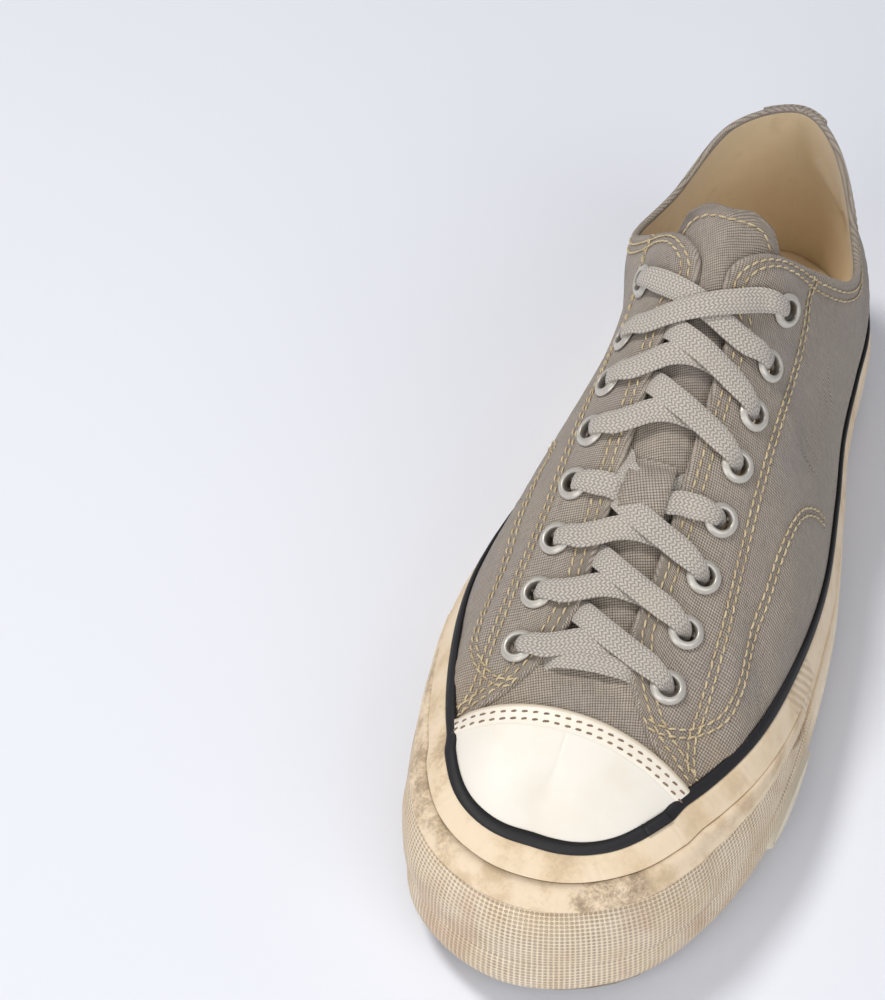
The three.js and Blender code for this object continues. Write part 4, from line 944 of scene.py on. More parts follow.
SEAMS = {1: [], -1: []}
for side, quarter in QUARTERS.items():
    outer = quarter["outer"]
    quarter["faces"] = grid_faces(*outer.shape[:2])
    ground = Ground(outer.reshape(-1, 3), quarter["faces"], middle_of_foot)
    front, top = outer[0, CLEAR_ROW:-1], outer[:, -1]
    rim = np.concatenate([front, top])
    toward = np.concatenate([outer[6, CLEAR_ROW:-1] - front, outer[:, -2] - top])
    forward = unit(np.gradient(rim, axis=0))
    inward = unit(toward - (toward * forward).sum(-1, keepdims=True) * forward)
    for depth in EDGE_ROWS:
        path = evenly(rim + unit(inward) * depth)
        SEAMS[side].append(ground.drop(eased(path, 4)))
    ys, xs = zip(*STAY_LINE)
    stay = curve_through(np.column_stack([side * np.array(xs), ys]))
    ball = curve_through(np.array(BALL_LINE) * BALL_SCALE) / BALL_SCALE
    lines = [(over_plan(stay[:, 0], stay[:, 1])[0], ROW_GAP),
             (canvas(on_side(side, ball[:, 0]), ball[:, 1]), side * ROW_GAP)]
    for line, gap in lines:
        places, normals = ground.drop(evenly(line))
        SEAMS[side] += [(places, normals), ground.drop(beside(places, normals, gap))]
    print("seam rows", side, [len(places) for places, _ in SEAMS[side]])

# %% Quarters: canvas outside, cotton inside, eyelet holes cut through
THREAD_PULL, PULL_WIDTH = 0.28, 1.0


def pulled_in(points, normals, seams):
    tree = KDTree(sum(len(places) for places, _ in seams))
    number = 0
    for places, _ in seams:
        for place in places:
            tree.insert(place, number)
            number += 1
    tree.balance()
    gap = np.array([tree.find(point)[2] for point in points])
    return points - normals * (THREAD_PULL * np.exp(-(gap / PULL_WIDTH) ** 2))[:, None], gap


def cut_round(points, faces, centres, radius):
    """Leaves out the faces that touch a hole."""
    inside = np.zeros(len(points), bool)
    for centre, size in centres:
        inside |= np.linalg.norm(points - centre, axis=-1) < radius * size
    return [face for face in faces if not inside[list(face)].any()]


def drop_unused(points, faces, *others):
    used = np.unique(np.concatenate([np.asarray(face) for face in faces]))
    renumber = np.full(len(points), -1)
    renumber[used] = np.arange(len(used))
    return (points[used], [[int(renumber[v]) for v in face] for face in faces], *[o[used] for o in others])


def build_quarter(side, name, stands_for):
    quarter = QUARTERS[side]
    u, rise, outer = quarter["u"], quarter["rise"], quarter["outer"]
    normal = last_normal(u, rise).reshape(-1, 3)
    along_foot = lengths(outer[:, u.shape[1] // 3][None], 1)[0]
    height = lengths(outer, 1)
    place = np.stack([np.broadcast_to(along_foot[:, None], u.shape), height, rise * 1.0], -1).reshape(-1, 3)
    points, gap = pulled_in(outer.reshape(-1, 3), normal, SEAMS[side])
    inner = canvas(u, rise, -WALL).reshape(-1, 3)
    faces = quarter["faces"] if side > 0 else quarter["faces"][:, ::-1]
    centres = [(RING_POINTS[k], ring["size"]) for k, ring in enumerate(RINGS) if ring["side"] == side]
    faces = cut_round(points, faces, centres, BARREL - 0.2)
    points, faces, inner, place, gap = drop_unused(points, faces, inner, place, gap)
    place[:, 2] = gap
    make_sheet(name, points, inner, faces, place, ("canvas", "cotton lining"), stands_for)


build_quarter(1, "quarter_lateral", ["upper"])
build_quarter(-1, "quarter_medial", [])


# %% [markdown]
# The vamp is one ply of canvas over the toes. It starts under the rubber cap and ends at the bottom of the
# slot, under both flaps. Its two halves are grids that meet along the ridge, where they are welded.
#
# %% Vamp
VAMP_COLUMNS, VAMP_ROWS = 90, 60
VAMP_REACH = 15


def ridge_u(y):
    """Place on the ridge over the toes and instep at some distance from the toe."""
    places = np.linspace(0, RIDGE_ROWS - 1, 400)
    return np.interp(y, track(places, "topY")[0], places)


def half_sheet(side, shares, tops, rows):
    v = np.linspace(0, 1, rows)
    share = shares[:, None] + (tops[:, :1] - shares[:, None]) * v
    return on_side(side, share), tops[:, 1:2] * v


def even_shares(side, start, end, count):
    foot = with_points(side, np.linspace(start, end, 200), np.zeros(200))
    return resample(foot, count)[0][:, 0]


def vamp_half(side):
    ridge = np.linspace(TRACKS["topY"][0], THROAT, 50)
    tops = np.column_stack([ridge_u(ridge) / SPANS, np.ones(50)])
    xs = np.linspace(0, VAMP_REACH, 30)[1:]
    u, rise = locate(side * xs, np.full(xs.shape, THROAT) + 0.04 * xs)
    tops = np.concatenate([tops, np.column_stack([to_share(u), rise])])
    tops = resample(with_points(side, tops[:, 0], tops[:, 1]), VAMP_COLUMNS)[0][:, :2]
    return half_sheet(side, even_shares(side, 0, 0.31, VAMP_COLUMNS), tops, VAMP_ROWS)


def ridge_centred(points, rise):
    """Points at the very top of the toe and instep lie on the middle plane."""
    points = points.copy()
    flat = (rise > 0.9999) & (np.abs(points[..., 0]) < 0.3)
    points[flat, 0] = 0
    return points


def two_halves(half, outer_distance, inner_distance, mark):
    """Both halves of a sheet over the toes, welded along the ridge and the middle of the toe."""
    outers, inners, faces, places, start = [], [], [], [], 0
    for side in (1, -1):
        u, rise = half(side)
        share = to_share(u)
        outer = ridge_centred(canvas(u, rise, outer_distance(share, rise)), rise)
        inner = ridge_centred(canvas(u, rise, inner_distance(share, rise)), rise)
        quads = grid_faces(*u.shape)
        faces.append((quads if side > 0 else quads[:, ::-1]) + start)
        start += u.size
        outers.append(outer.reshape(-1, 3))
        inners.append(inner.reshape(-1, 3))
        places.append(mark(outer, side).reshape(-1, 3))
    outer, inner, place = (np.concatenate(group) for group in (outers, inners, places))
    outer, faces, inner, place = weld(outer, np.concatenate(faces), inner, place)
    return outer, inner, faces, place


def plan_mark(outer, side):
    """Cloth places over the toes: across and along, unrolled by the height of the side."""
    across = side * lengths(outer[:, ::-1], 1)[:, ::-1]
    return np.stack([across, outer[..., 1] * 1.05, np.full(outer.shape[:2], 9.0)], -1)


flat = lambda value: (lambda share, rise: np.full(share.shape, value))
outer, inner, faces, place = two_halves(vamp_half, flat(-PLY), flat(-WALL), plan_mark)
make_sheet("vamp", outer, inner, faces, place, ("canvas", "cotton lining"), [])


# %% [markdown]
# The toe cap is a smooth rubber shell. Its rear edge is an arc, a little raised, with two rows of dark thread
# close to it. It is made as the vamp is, with its last columns ending on that arc.
#
# %% Toe cap
CAP_THICKNESS, CAP_LENGTH, CAP_BOW = 1.5, 47.9, 8.8
CAP_INNER = 0.45 - PLY
CAP_OUTER = CAP_INNER + CAP_THICKNESS
CAP_LIP, CAP_LIP_WIDTH = 0.35, 5.2
CAP_COLUMNS, CAP_GRID_ROWS = 110, 60


def cap_rear(x):
    return CAP_LENGTH - CAP_BOW * (x / (0.4 * BALL_WIDTH)) ** 2


def cap_corner(side):
    """Places along the arc from the ridge down into the rubber strip."""
    rises = np.linspace(1, 0.22, 60)

    def before_the_arc(share):
        point = last(on_side(side, share), rises)
        return point[:, 1] < cap_rear(point[:, 0])

    return halved(np.full(60, 0.05), np.full(60, 0.4), before_the_arc, 28)[0], rises


def cap_half(side):
    ridge = np.linspace(TRACKS["topY"][0], CAP_LENGTH, 20)
    tops = np.column_stack([ridge_u(ridge) / SPANS, np.ones(20)])
    shares, rises = cap_corner(side)
    tops = np.concatenate([tops, np.column_stack([shares, rises])[1:]])
    tops = resample(with_points(side, tops[:, 0], tops[:, 1]), CAP_COLUMNS)[0][:, :2]
    return half_sheet(side, even_shares(side, 0, 0.172, CAP_COLUMNS), tops, CAP_GRID_ROWS)


def cap_mark(outer, side):
    """Across, along, and how far in front of the rear edge."""
    before = cap_rear(outer[..., 0]) - outer[..., 1]
    return np.stack([outer[..., 0], outer[..., 1], before], -1)


outer, inner, faces, place = two_halves(cap_half, flat(CAP_OUTER), flat(CAP_INNER), cap_mark)
lip = np.clip(1 - place[:, 2] / CAP_LIP_WIDTH, 0, 1)
outer = outer + unit(outer - inner) * (CAP_LIP * np.minimum(lip * 6, 1) * (lip > 0))[:, None]
CAP_GROUND = Ground(outer, faces, middle_of_foot)
make_sheet("cap", outer, inner, faces, place, ("cap rubber",), ["toe_cap"])
CAP_ROWS = []
for depth in (1.6, 3.7):
    rows = []
    for side in (-1, 1):
        shares, rises = cap_corner(side)
        path = last(on_side(side, shares), rises)[:46]
        path[0, 0] = 0
        rows.append(path[::-1] if side < 0 else path[1:])
    path = evenly(np.concatenate(rows))
    forward = np.gradient(path, axis=0)
    places, normals = CAP_GROUND.drop(path)
    inset = places + unit(np.cross(normals, forward)) * -depth
    CAP_ROWS.append(CAP_GROUND.drop(inset))
    print("cap row", depth, "y at the middle", round(float(CAP_ROWS[-1][0][len(inset) // 2][1]), 1))


# %% [markdown]
# Rubber strips run round the foot: a black line, a cream strip, a second dirty strip round the toe, and below
# them the thick side of the sole, moulded with small pits round the toe. Each is a closed profile swept round
# the last, with its heights read from the same table, so the strips follow the toe's rise.
#
# %% Profiles swept round the foot
SWEEP = 621
FOXING_THICKNESS, STRIP_HEIGHT, STRIP_STEP, SEAM, TRIM_WIDTH = 2.7, 7.4, 0.8, 0.3, 2.5
BUMPER_THICKNESS, BUMPER_END, BUMPER_SHARE = 4.2, 1.2, 0.275
OUTSOLE_THICKNESS, SOLE_TUCK, ARCH_LIFT = 3.6, 4, 2


def smoothstep(x, low, high):
    t = np.clip((x - low) / (high - low), 0, 1)
    return t * t * (3 - 2 * t)


fine_u = np.linspace(0, ROUND, 4000, endpoint=False)
outline = last(fine_u, 0)
outline_run = lengths(np.concatenate([outline, outline[:1]])[None], 1)[0]
OUTLINE = outline_run[-1]
SWEEP_RUN = np.linspace(-0.5, 0.5, SWEEP) * OUTLINE
SWEEP_U = np.interp(SWEEP_RUN % OUTLINE, outline_run, np.append(fine_u, ROUND)) % ROUND
SHARE = to_share(SWEEP_U)
SIDE = np.where(SWEEP_RUN >= 0, 1.0, -1.0)
BAND_INNER = SEAM + (CAP_OUTER + 0.5 * SEAM) * (1 - smoothstep(SHARE, 0.172, 0.20))


def rise_at(u, z, distance):
    lower_than_z = lambda rise: shell(u, rise, distance)[..., 2] < z
    return halved(np.zeros(z.shape), np.full(z.shape, 0.85), lower_than_z)[0]


TRIM_TOP = track(SWEEP_U, "foxing")[0]
top_rise = rise_at(SWEEP_U, TRIM_TOP, BAND_INNER)
top_point = shell(SWEEP_U, top_rise, BAND_INNER)
trim_width = np.interp(SHARE, [0, 0.10, 0.22], [1.2, 1.6, TRIM_WIDTH])


def below_the_line(rise):
    return np.linalg.norm(shell(SWEEP_U, rise, BAND_INNER) - top_point, axis=-1) > trim_width


TRIM_BOTTOM = shell(SWEEP_U, halved(np.zeros(SWEEP), top_rise, below_the_line)[1], BAND_INNER)[:, 2]
STRIP_TOP = TRIM_BOTTOM - 0.1
STRIP_BOTTOM = STRIP_TOP - np.interp(SHARE, [0, 0.10, 0.20, 0.27, 0.36, 0.45],
                                     [2.3, 2.7, 4.2, 5.2, 7.0, STRIP_HEIGHT])
SOLE_RIM = track(SWEEP_U, "base")[0]


def on_band(z, distance):
    """Points that stand off the band's inner face, at heights z; both are grids [place][row]."""
    u = np.broadcast_to(SWEEP_U[:, None], z.shape)
    off = BAND_INNER[:, None] + distance
    points = shell(u, rise_at(u, z, off), off)
    points[..., 2] = z
    window = np.exp(-(np.arange(-12, 13) / 5.0) ** 2)
    padded = np.pad(points, ((12, 12), (0, 0), (0, 0)), "edge")
    soft = sum(w * padded[k:k + SWEEP] for k, w in enumerate(window)) / window.sum()
    return points + (soft - points) * (1 - smoothstep(SHARE, 0.08, 0.16))[:, None, None]


def swept(name, points, finishes, stands_for, keep=None):
    """A profile swept from the heel round the toe to the heel, or capped along a part of it."""
    columns, rows = points.shape[:2]
    height = lengths(points, 1)
    run = np.broadcast_to(SWEEP_RUN[:, None], (columns, rows))
    mark = np.broadcast_to((SHARE * SIDE)[:, None], (columns, rows))
    place = np.stack([run, height, mark], -1)
    chosen = np.arange(columns) if keep is None else np.flatnonzero(keep)
    points, place = points[chosen], place[chosen]
    ends = (len(chosen) - 1) * rows
    ring = np.arange(rows)
    after = (ring + 1) % rows
    faces = [face for start in range(0, ends, rows)
             for face in np.column_stack([ring, ring + rows, after + rows, after]) + start]
    if keep is not None:
        faces += [ring, (ring + ends)[::-1]]
    make_piece(name, points.reshape(-1, 3), faces, finishes, stands_for, place.reshape(-1, 3))


def wave(run, size, *turns):
    """A small irregular wave round the foot, the same each time."""
    return size * sum(np.sin(2 * np.pi * run * turn / OUTLINE + turn) for turn in turns) / len(turns)


def profile(bottom, top, levels, distances):
    z = bottom[:, None] + (top - bottom)[:, None] * np.array(levels)
    return on_band(z, np.asarray(distances, float) * np.ones_like(z))


trim_top = TRIM_TOP + wave(SWEEP_RUN, 0.05, 13, 29, 41)
swept("black_line", profile(TRIM_BOTTOM, trim_top, [0, 0, 0.08, 0.3, 0.7, 0.93, 1, 1],
                            [-0.1, 0.7, 1.0, 1.08, 0.95, 0.8, 0.5, -0.1]),
      ("black rubber",), ["foxing_trim"])
lap = (SHARE * SIDE > 0.145) & (SHARE * SIDE < 0.178)
swept("black_line_end", profile(TRIM_BOTTOM + 0.25, TRIM_TOP + 0.3, [0, 0.05, 0.3, 0.8, 1, 1],
                                [0.6, 1.2, 1.5, 1.45, 1.1, 0.3]),
      ("black rubber",), [], keep=lap)
strip_bottom = STRIP_BOTTOM + wave(SWEEP_RUN, 0.14, 7, 17, 31)
lower = np.maximum(SOLE_RIM - 0.5, 0)
strip_levels = [0.00, 0.00, 0.03, 0.07, 0.12, 0.18, 0.55, 0.88, 0.97, 1.0, 1.0]
strip_out = [1.40, 2.20, 2.50, 2.50, 2.25, 2.10, 1.70, 1.20, 1.00, 0.7, -0.1]
strip = profile(strip_bottom, STRIP_TOP, strip_levels, strip_out)
skirt = profile(lower, strip_bottom, [0, 0, 0.5], [-0.1, 1.9, 1.9])
swept("foxing_strip", np.concatenate([skirt, strip], 1), ("strip rubber",), ["foxing_band"])

# %% Second strip round the toe
SECOND_TOP = strip_bottom - 0.15
SECOND_HEIGHT = np.interp(SHARE, [0, 0.10, 0.20, 0.29, 0.36], [3.4, 3.6, 4.2, 3.6, 2.6])
second_bottom = SECOND_TOP - SECOND_HEIGHT + wave(SWEEP_RUN, 0.22, 9, 14, 23)
BUMPER_INNER = FOXING_THICKNESS - STRIP_STEP + SEAM
bumper_out = BUMPER_INNER + np.maximum(BUMPER_THICKNESS + (BUMPER_END - BUMPER_THICKNESS)
                                       * (SHARE / BUMPER_SHARE) ** 2, 0.75)


def bumper_at(z):
    """How far the thick toe strip stands out at a height: its full thickness low down, half at its top."""
    level = np.clip((z - SOLE_RIM[:, None]) / (SECOND_TOP - SOLE_RIM)[:, None], 0, 1)
    share = np.interp(level, [0, 0.45, 1], [1, 0.85, 0.5])
    return BUMPER_INNER + (bumper_out - BUMPER_INNER)[:, None] * share


second_levels = np.array([0, 0.0, 0.05, 0.10, 0.16, 0.45, 0.78, 0.94, 1, 1])
second_lift = np.array([-2.5, 0.25, 0.62, 0.62, 0.30, 0.22, 0.22, 0.12, -0.35, -2.5])
z = second_bottom[:, None] + (SECOND_TOP - second_bottom)[:, None] * second_levels
second = on_band(z, np.maximum(bumper_at(z) + second_lift, 1.7))
ends = SHARE < 0.352
swept("second_strip", second, ("dirty rubber",), [], keep=ends)

# %% Side of the sole, pitted round the toe
FLATS = {"ball": (0.20, 0.44), "heel": 0.68}
SIDE_LEVELS, SIDE_TUCKS = [0.00, 0.12, 0.34, 0.76, 1.00], [0.85, 0.40, 0.00, 0.08, 0.28]


def ground_height(y):
    share = y / LENGTH
    toe = TOE_SPRING * np.clip(1 - share / FLATS["ball"][0], 0, 1) ** 2
    arch = np.clip((share - FLATS["ball"][1]) / (FLATS["heel"] - FLATS["ball"][1]), 0, 1)
    return toe + ARCH_LIFT * np.sin(np.pi * arch) ** 2


def sole_side(levels):
    sole = track(SWEEP_U, "sole")[0]
    tuck = SOLE_TUCK * (0.25 + 0.75 * sole / SOLE_FLARE)
    out = outward(SWEEP_U)
    foot = np.stack([track(SWEEP_U, "x")[0], track(SWEEP_U, "y")[0], np.zeros(SWEEP)], -1)
    share = smooth_through(SIDE_LEVELS, SIDE_TUCKS, levels)
    points = foot[:, None] + out[:, None] * (sole[:, None] - tuck[:, None] * share)[..., None]
    bottom = ground_height(points[..., 1]) + OUTSOLE_THICKNESS + 0.1
    points[..., 2] = bottom + (SOLE_RIM[:, None] - 0.2 - bottom) * levels
    return points


UNDER_INSET, EDGE_INSET, BASE_INSET = 9, 0.5, 5
side_wall = sole_side(np.concatenate([[0.0, 0.0, 0.02], np.linspace(0.06, 0.98, 18)]))
side_wall[:, 0] -= outward(SWEEP_U) * UNDER_INSET
side_wall[:, 1] -= outward(SWEEP_U) * EDGE_INSET
guard_top = np.where(SHARE < 0.36, np.maximum(second_bottom + 0.3, SOLE_RIM + 0.6), SOLE_RIM + 0.6)
blend_top = smoothstep(SHARE, 0.30, 0.36)
guard_top = guard_top * (1 - blend_top) + (SOLE_RIM + 0.6) * blend_top
guard_levels = np.linspace(0, 1, 9)
z = (SOLE_RIM + 0.05)[:, None] + (guard_top - SOLE_RIM - 0.05)[:, None] * guard_levels
guard = on_band(z, bumper_at(z) - 0.02)
rim_top = on_band(guard_top[:, None] + np.array([[0.0, -0.5]]), np.array([[1.6, 0.3]]) * np.ones((SWEEP, 2)))
shoulder = on_band(guard_top[:, None] + np.array([[0.25]]), bumper_at(guard_top[:, None]) - 0.5)
base_in = last(SWEEP_U, 0)[:, None] - outward(SWEEP_U)[:, None] * BASE_INSET
base_in[..., 2] = (SOLE_RIM - 0.4)[:, None]
sole_points = np.concatenate([side_wall, guard, shoulder, rim_top, base_in], 1)
swept("sole_side", sole_points, ("pitted rubber",), ["midsole", "toe_bumper"])


# %% [markdown]
# On the outer side, by the ball, sits a blank lens-shaped pad, with a groove round it. It is a thin sheet on
# the side of the sole, thicker in the middle.
#
# %% Side pad
PATCH_CENTRE, PATCH_LENGTH, PATCH_HEIGHT = 0.31, 36, 10
side_wall_out = sole_side(np.linspace(0.02, 0.98, 40))
near_ball = (SIDE > 0) & (SHARE > 0.18) & (SHARE < 0.45)
picked = np.flatnonzero(near_ball)
strip_of_side = side_wall_out[picked]
pad_run = SWEEP_RUN[picked] - np.interp(PATCH_CENTRE, SHARE[picked], SWEEP_RUN[picked])
pad_height = lengths(strip_of_side, 1)
pad_height = pad_height - pad_height[:, [18]]


def side_point(run, height):
    """A point of the sole's outer side, by mm along and up from the pad's middle."""
    i = np.interp(run, pad_run, np.arange(len(picked)))
    j = np.interp(height, pad_height[len(picked) // 2], np.arange(40))
    a, b = np.floor(i).astype(int), np.floor(j).astype(int)
    fa, fb = (i - a)[..., None], (j - b)[..., None]
    g = strip_of_side
    point = (g[a, b] * (1 - fa) * (1 - fb) + g[a + 1, b] * fa * (1 - fb)
             + g[a, b + 1] * (1 - fa) * fb + g[a + 1, b + 1] * fa * fb)
    normal = unit(np.cross(g[a + 1, b] - g[a, b], g[a, b + 1] - g[a, b]))
    return point, normal


turns, hoops = np.linspace(0, 2 * np.pi, 97)[:-1], np.linspace(0, 1, 15)
c, s = np.cos(turns), np.sin(turns)
lens_x = np.sign(c) * np.abs(c) ** 0.9 * PATCH_LENGTH / 2
lens_y = s * PATCH_HEIGHT / 2 * (1 - 0.18 * np.abs(c))
pad_x, pad_y = lens_x[:, None] * hoops, lens_y[:, None] * hoops
point, normal = side_point(pad_x, pad_y)
swell = np.interp(hoops, [0, 0.70, 0.80, 0.84, 0.90, 0.95, 1.0], [1.5, 1.35, 1.25, 0.75, 1.35, 1.15, -0.3])
pad = point + normal * swell[:, None]
faces = grid_faces(96, 15, closed=True)
pad_points, faces, pad_place = weld(pad.reshape(-1, 3), faces, np.stack([pad_x, pad_y, np.broadcast_to(
    hoops, pad_x.shape)], -1).reshape(-1, 3))
under = [int(np.argmin(np.linalg.norm(pad_points - pad[k, -1], axis=-1))) for k in range(96)]
make_piece("side_pad", pad_points, [*faces, under[::-1]], ("pad rubber",), ["side_patch"],
           pad_place)


# %% [markdown]
# Inside lie the insole and the lining. The insole is a padded sheet with a soft edge, dished under the heel.
#
# %% Insole
INSOLE_THICKNESS = 3.5
rings = np.array([0.0, 0.2, 0.4, 0.6, 0.75, 0.86, 0.93, 0.97, 1.0, 1.0])
edge_line = last(SWEEP_U, 0) - outward(SWEEP_U) * (WALL + SEAM)
shares = np.linspace(0, 1, 200)
centre_x = (last(on_side(1, shares), 0)[:, 0] + last(on_side(-1, shares), 0)[:, 0]) / 2
ys = last(on_side(1, shares), 0)[:, 1]
spine_y = np.clip(edge_line[:, 1], 34, 250)
spine = np.stack([np.interp(spine_y, ys, centre_x), spine_y, np.zeros(SWEEP)], -1)
insole = spine[:, None] + (edge_line - spine)[:, None] * rings[:, None]
heel_dish = 1.2 * smoothstep(insole[..., 1], 175, 225) * (1 - rings) ** 1.5
thick = INSOLE_THICKNESS - 1.1 * np.clip(rings - 0.86, 0, 1) ** 2 / 0.14 ** 2 * 0.8
insole[..., 2] = SOLE_RIM[:, None] + thick - heel_dish - 0.15
insole[:, -1, 2] = SOLE_RIM + 0.05
top_faces = grid_faces(SWEEP, len(rings), closed=True)[:, ::-1]
points, faces, place = weld(insole.reshape(-1, 3), top_faces, insole.reshape(-1, 3))
make_piece("padded_insole", points, faces, ("insole cloth",), ["insole"], place)


# %% [markdown]
# A canvas strip covers the seam up the back.
#
# %% Backstay
STAY_WIDTH, STAY_THICKNESS = 24, 1.2
reach = np.linalg.norm(last(SPANS * 1.0, 0) - last(SPANS * 0.985, 0)) / 0.015
half_share = STAY_WIDTH / 2 / reach
stay_rows = np.linspace(0.25, 1, 60)
stay_across = np.linspace(-1, 1, 33)
stay_u = SPANS * (1 + stay_across * half_share)[:, None] * np.ones(60)
stay_rise = np.ones(33)[:, None] * stay_rows
outer = canvas(stay_u, stay_rise, SEAM + STAY_THICKNESS * 0.75)
inner = canvas(stay_u, stay_rise, 0.05)
faces = grid_faces(33, 60)
place = np.stack([stay_across[:, None] * STAY_WIDTH / 2 + 0 * stay_rise, lengths(outer, 1),
                  np.abs(stay_across)[:, None] * STAY_WIDTH / 2 + 0 * stay_rise], -1).reshape(-1, 3)
BACK_GROUND = Ground(outer.reshape(-1, 3), faces, middle_of_foot)
BACK_SEAMS = []
for sign in (-1, 1):
    for depth in (1.8, 4.4):
        across = sign * (1 - depth / (STAY_WIDTH / 2))
        line = canvas(np.full(50, SPANS * (1 + across * half_share)), np.linspace(0.30, 0.985, 50), 1.2)
        BACK_SEAMS.append(BACK_GROUND.drop(evenly(line)))
points = outer.reshape(-1, 3)
points, _ = pulled_in(points, unit(points - inner.reshape(-1, 3)), BACK_SEAMS)
make_sheet("backstay", points, inner.reshape(-1, 3), faces, place, ("canvas",), ["heel_backstay"])


# %% [markdown]
# The tongue lies under both flaps, bulges a little in the slot, and stands free above the top eyelets, where
# it leans back and flattens. Its rows are placed one after the other, as the solid's are.
#
# %% Tongue
TONGUE_THICKNESS, TONGUE_CLEARANCE, TONGUE_HALF, TONGUE_CROWN = 2.2, 1.2, 25, 1.3
TONGUE_BEYOND, TONGUE_TAPER, TONGUE_NARROWING, TONGUE_ROUNDING = 15, 0.24, 2, 0.12
TONGUE_STATIONS = 10
TONGUE_FREE = [(0.45, -0.18, 0.0), (0.7, -0.05, 0.0), (0.86, 0.0, 0.4), (1.0, 0.0, 0.6)]
TONGUE_SKIN = -WALL - TONGUE_CLEARANCE
across = np.linspace(-1, 1, 45)
MIDDLE = len(across) // 2
tongue_top = SECTIONS[RIDGE_ROWS]["topY"] - 7
rows_out, rows_in = [], []
for k in range(TONGUE_STATIONS):
    y = THROAT - 10 + (tongue_top - THROAT + 10) * k / (TONGUE_STATIONS - 1)
    x = TONGUE_HALF * (1 - TONGUE_TAPER * k / (TONGUE_STATIONS - 1)) * across
    bulge = smoothstep(SLOT_HALF - np.abs(x), 0, SLOT_HALF) * smoothstep(np.array(y), THROAT + 1, THROAT + 10)
    point, normal = over_plan(x, np.full(x.shape, y), TONGUE_SKIN + TONGUE_CROWN * bulge)
    rows_out.append(point)
    rows_in.append(point - normal * TONGUE_THICKNESS)
last_row, before_row, before = rows_out[-1], rows_out[-2], 0.0
for share, lean, flatten in TONGUE_FREE:
    start = rows_out[-1]
    climb = last_row - before_row
    if flatten > 0:
        climb = np.broadcast_to(climb[MIDDLE], climb.shape)
    tilt = np.arctan2(climb[:, 2], climb[:, 1]) + lean
    run = TONGUE_BEYOND * (share - before - (TONGUE_ROUNDING * across ** 2 if share == 1 else 0))
    rise = flatten * (start[MIDDLE, 2] - start[:, 2])
    narrow = -across * TONGUE_NARROWING if flatten > 0 else 0 * across
    move = np.stack([narrow, np.cos(tilt) * run, np.sin(tilt) * run + rise], -1)
    rows_out.append(start + move)
    rows_in.append(rows_in[-1] + move)
    before = share


def through_rows(rows, count):
    rows = np.array(rows)
    run = lengths(rows[None, :, MIDDLE], 1)[0]
    return smooth_at(np.linspace(0, run[-1], count), run, rows.reshape(len(rows), -1)).reshape(count, -1, 3)


TONGUE_ROWS = 150
outer, inner = (through_rows(rows, TONGUE_ROWS).transpose(1, 0, 2) for rows in (rows_out, rows_in))
wave_x = across[:, None] * TONGUE_HALF
height = lengths(outer, 1)
ripple = 0.35 * np.sin(height / 9 + 2.5 * across[:, None]) * smoothstep(height, 20, 40)
normal = unit(outer - inner)
outer, inner = outer + normal * ripple[..., None], inner + normal * ripple[..., None]
faces = grid_faces(45, TONGUE_ROWS)
place = np.stack([wave_x + 0 * height, height, height[:, -1:] - height], -1).reshape(-1, 3)
above_foot = lambda point: np.array([point[0] * 0.6, point[1] + 30, point[2] - 60])
TONGUE_GROUND = Ground(outer.reshape(-1, 3), faces, above_foot)
left, top, right = outer[0, 40:], outer[:, -1], outer[-1, 40:]
rim = np.concatenate([left[:-1], top, right[::-1][1:]])
steps = np.concatenate([outer[3, 40:-1] - left[:-1], outer[:, -5] - top,
                        outer[-4, 40:-1][::-1] - right[::-1][1:]])
forward = unit(np.gradient(rim, axis=0))
steps = unit(steps - (steps * forward).sum(-1, keepdims=True) * forward)
path = evenly(rim + steps * 2.6)
TONGUE_SEAMS = [TONGUE_GROUND.drop(eased(path, 5))]
points = outer.reshape(-1, 3)
points, _ = pulled_in(points, normal.reshape(-1, 3), TONGUE_SEAMS)
make_sheet("tongue_cloth", points, inner.reshape(-1, 3), faces, place, ("canvas", "cotton lining"),
           ["tongue"])


# %% [markdown]
# An eyelet is a rolled metal ring. One small profile is turned round each ring's axis, and all the rings
# become one mesh, since they are one finish.
#
# %% Eyelets
RING_SIDES = 72
RING_PROFILE = np.array([
    (2.75, -2.3), (2.75, 0.8), (2.83, 1.20), (3.05, 1.52), (3.40, 1.66), (3.85, 1.60), (4.30, 1.35),
    (4.70, 0.98), (4.95, 0.70), (5.00, 0.52), (4.90, 0.42), (4.60, 0.40), (3.40, 0.35), (3.40, -2.3)])


def ring_frame(normal):
    across = unit(np.cross([0.0, 1.0, 0.0], normal))
    return across, np.cross(normal, across)


points, faces, place, start = [], [], [], 0
turn = around(RING_SIDES)
ring_grid = grid_faces(RING_SIDES, len(RING_PROFILE), closed=True)
firsts = np.arange(RING_SIDES) * len(RING_PROFILE)
nexts, end = np.roll(firsts, -1), len(RING_PROFILE) - 1
close = np.column_stack([firsts + end, nexts + end, nexts, firsts])
for ring in RINGS:
    middle, normal = last(ring["u"], ring["rise"]), last_normal(ring["u"], ring["rise"])
    across, up = ring_frame(normal)
    ring["middle"], ring["normal"] = middle, normal
    r, z = RING_PROFILE[:, 0] * ring["size"], RING_PROFILE[:, 1] * ring["size"] + ring["seat"]
    wheel = across * np.cos(turn)[:, None] + up * np.sin(turn)[:, None]
    body = middle + wheel[:, None] * r[None, :, None] + normal * z[:, None]
    points.append(body.reshape(-1, 3))
    faces += (ring_grid + start).tolist() + (close + start).tolist()
    where = np.stack(np.broadcast_arrays(r[None] * np.cos(turn)[:, None], r[None] * np.sin(turn)[:, None],
                                         r[None] / ring["size"]), -1)
    place.append(where.reshape(-1, 3))
    start += body.shape[0] * body.shape[1]
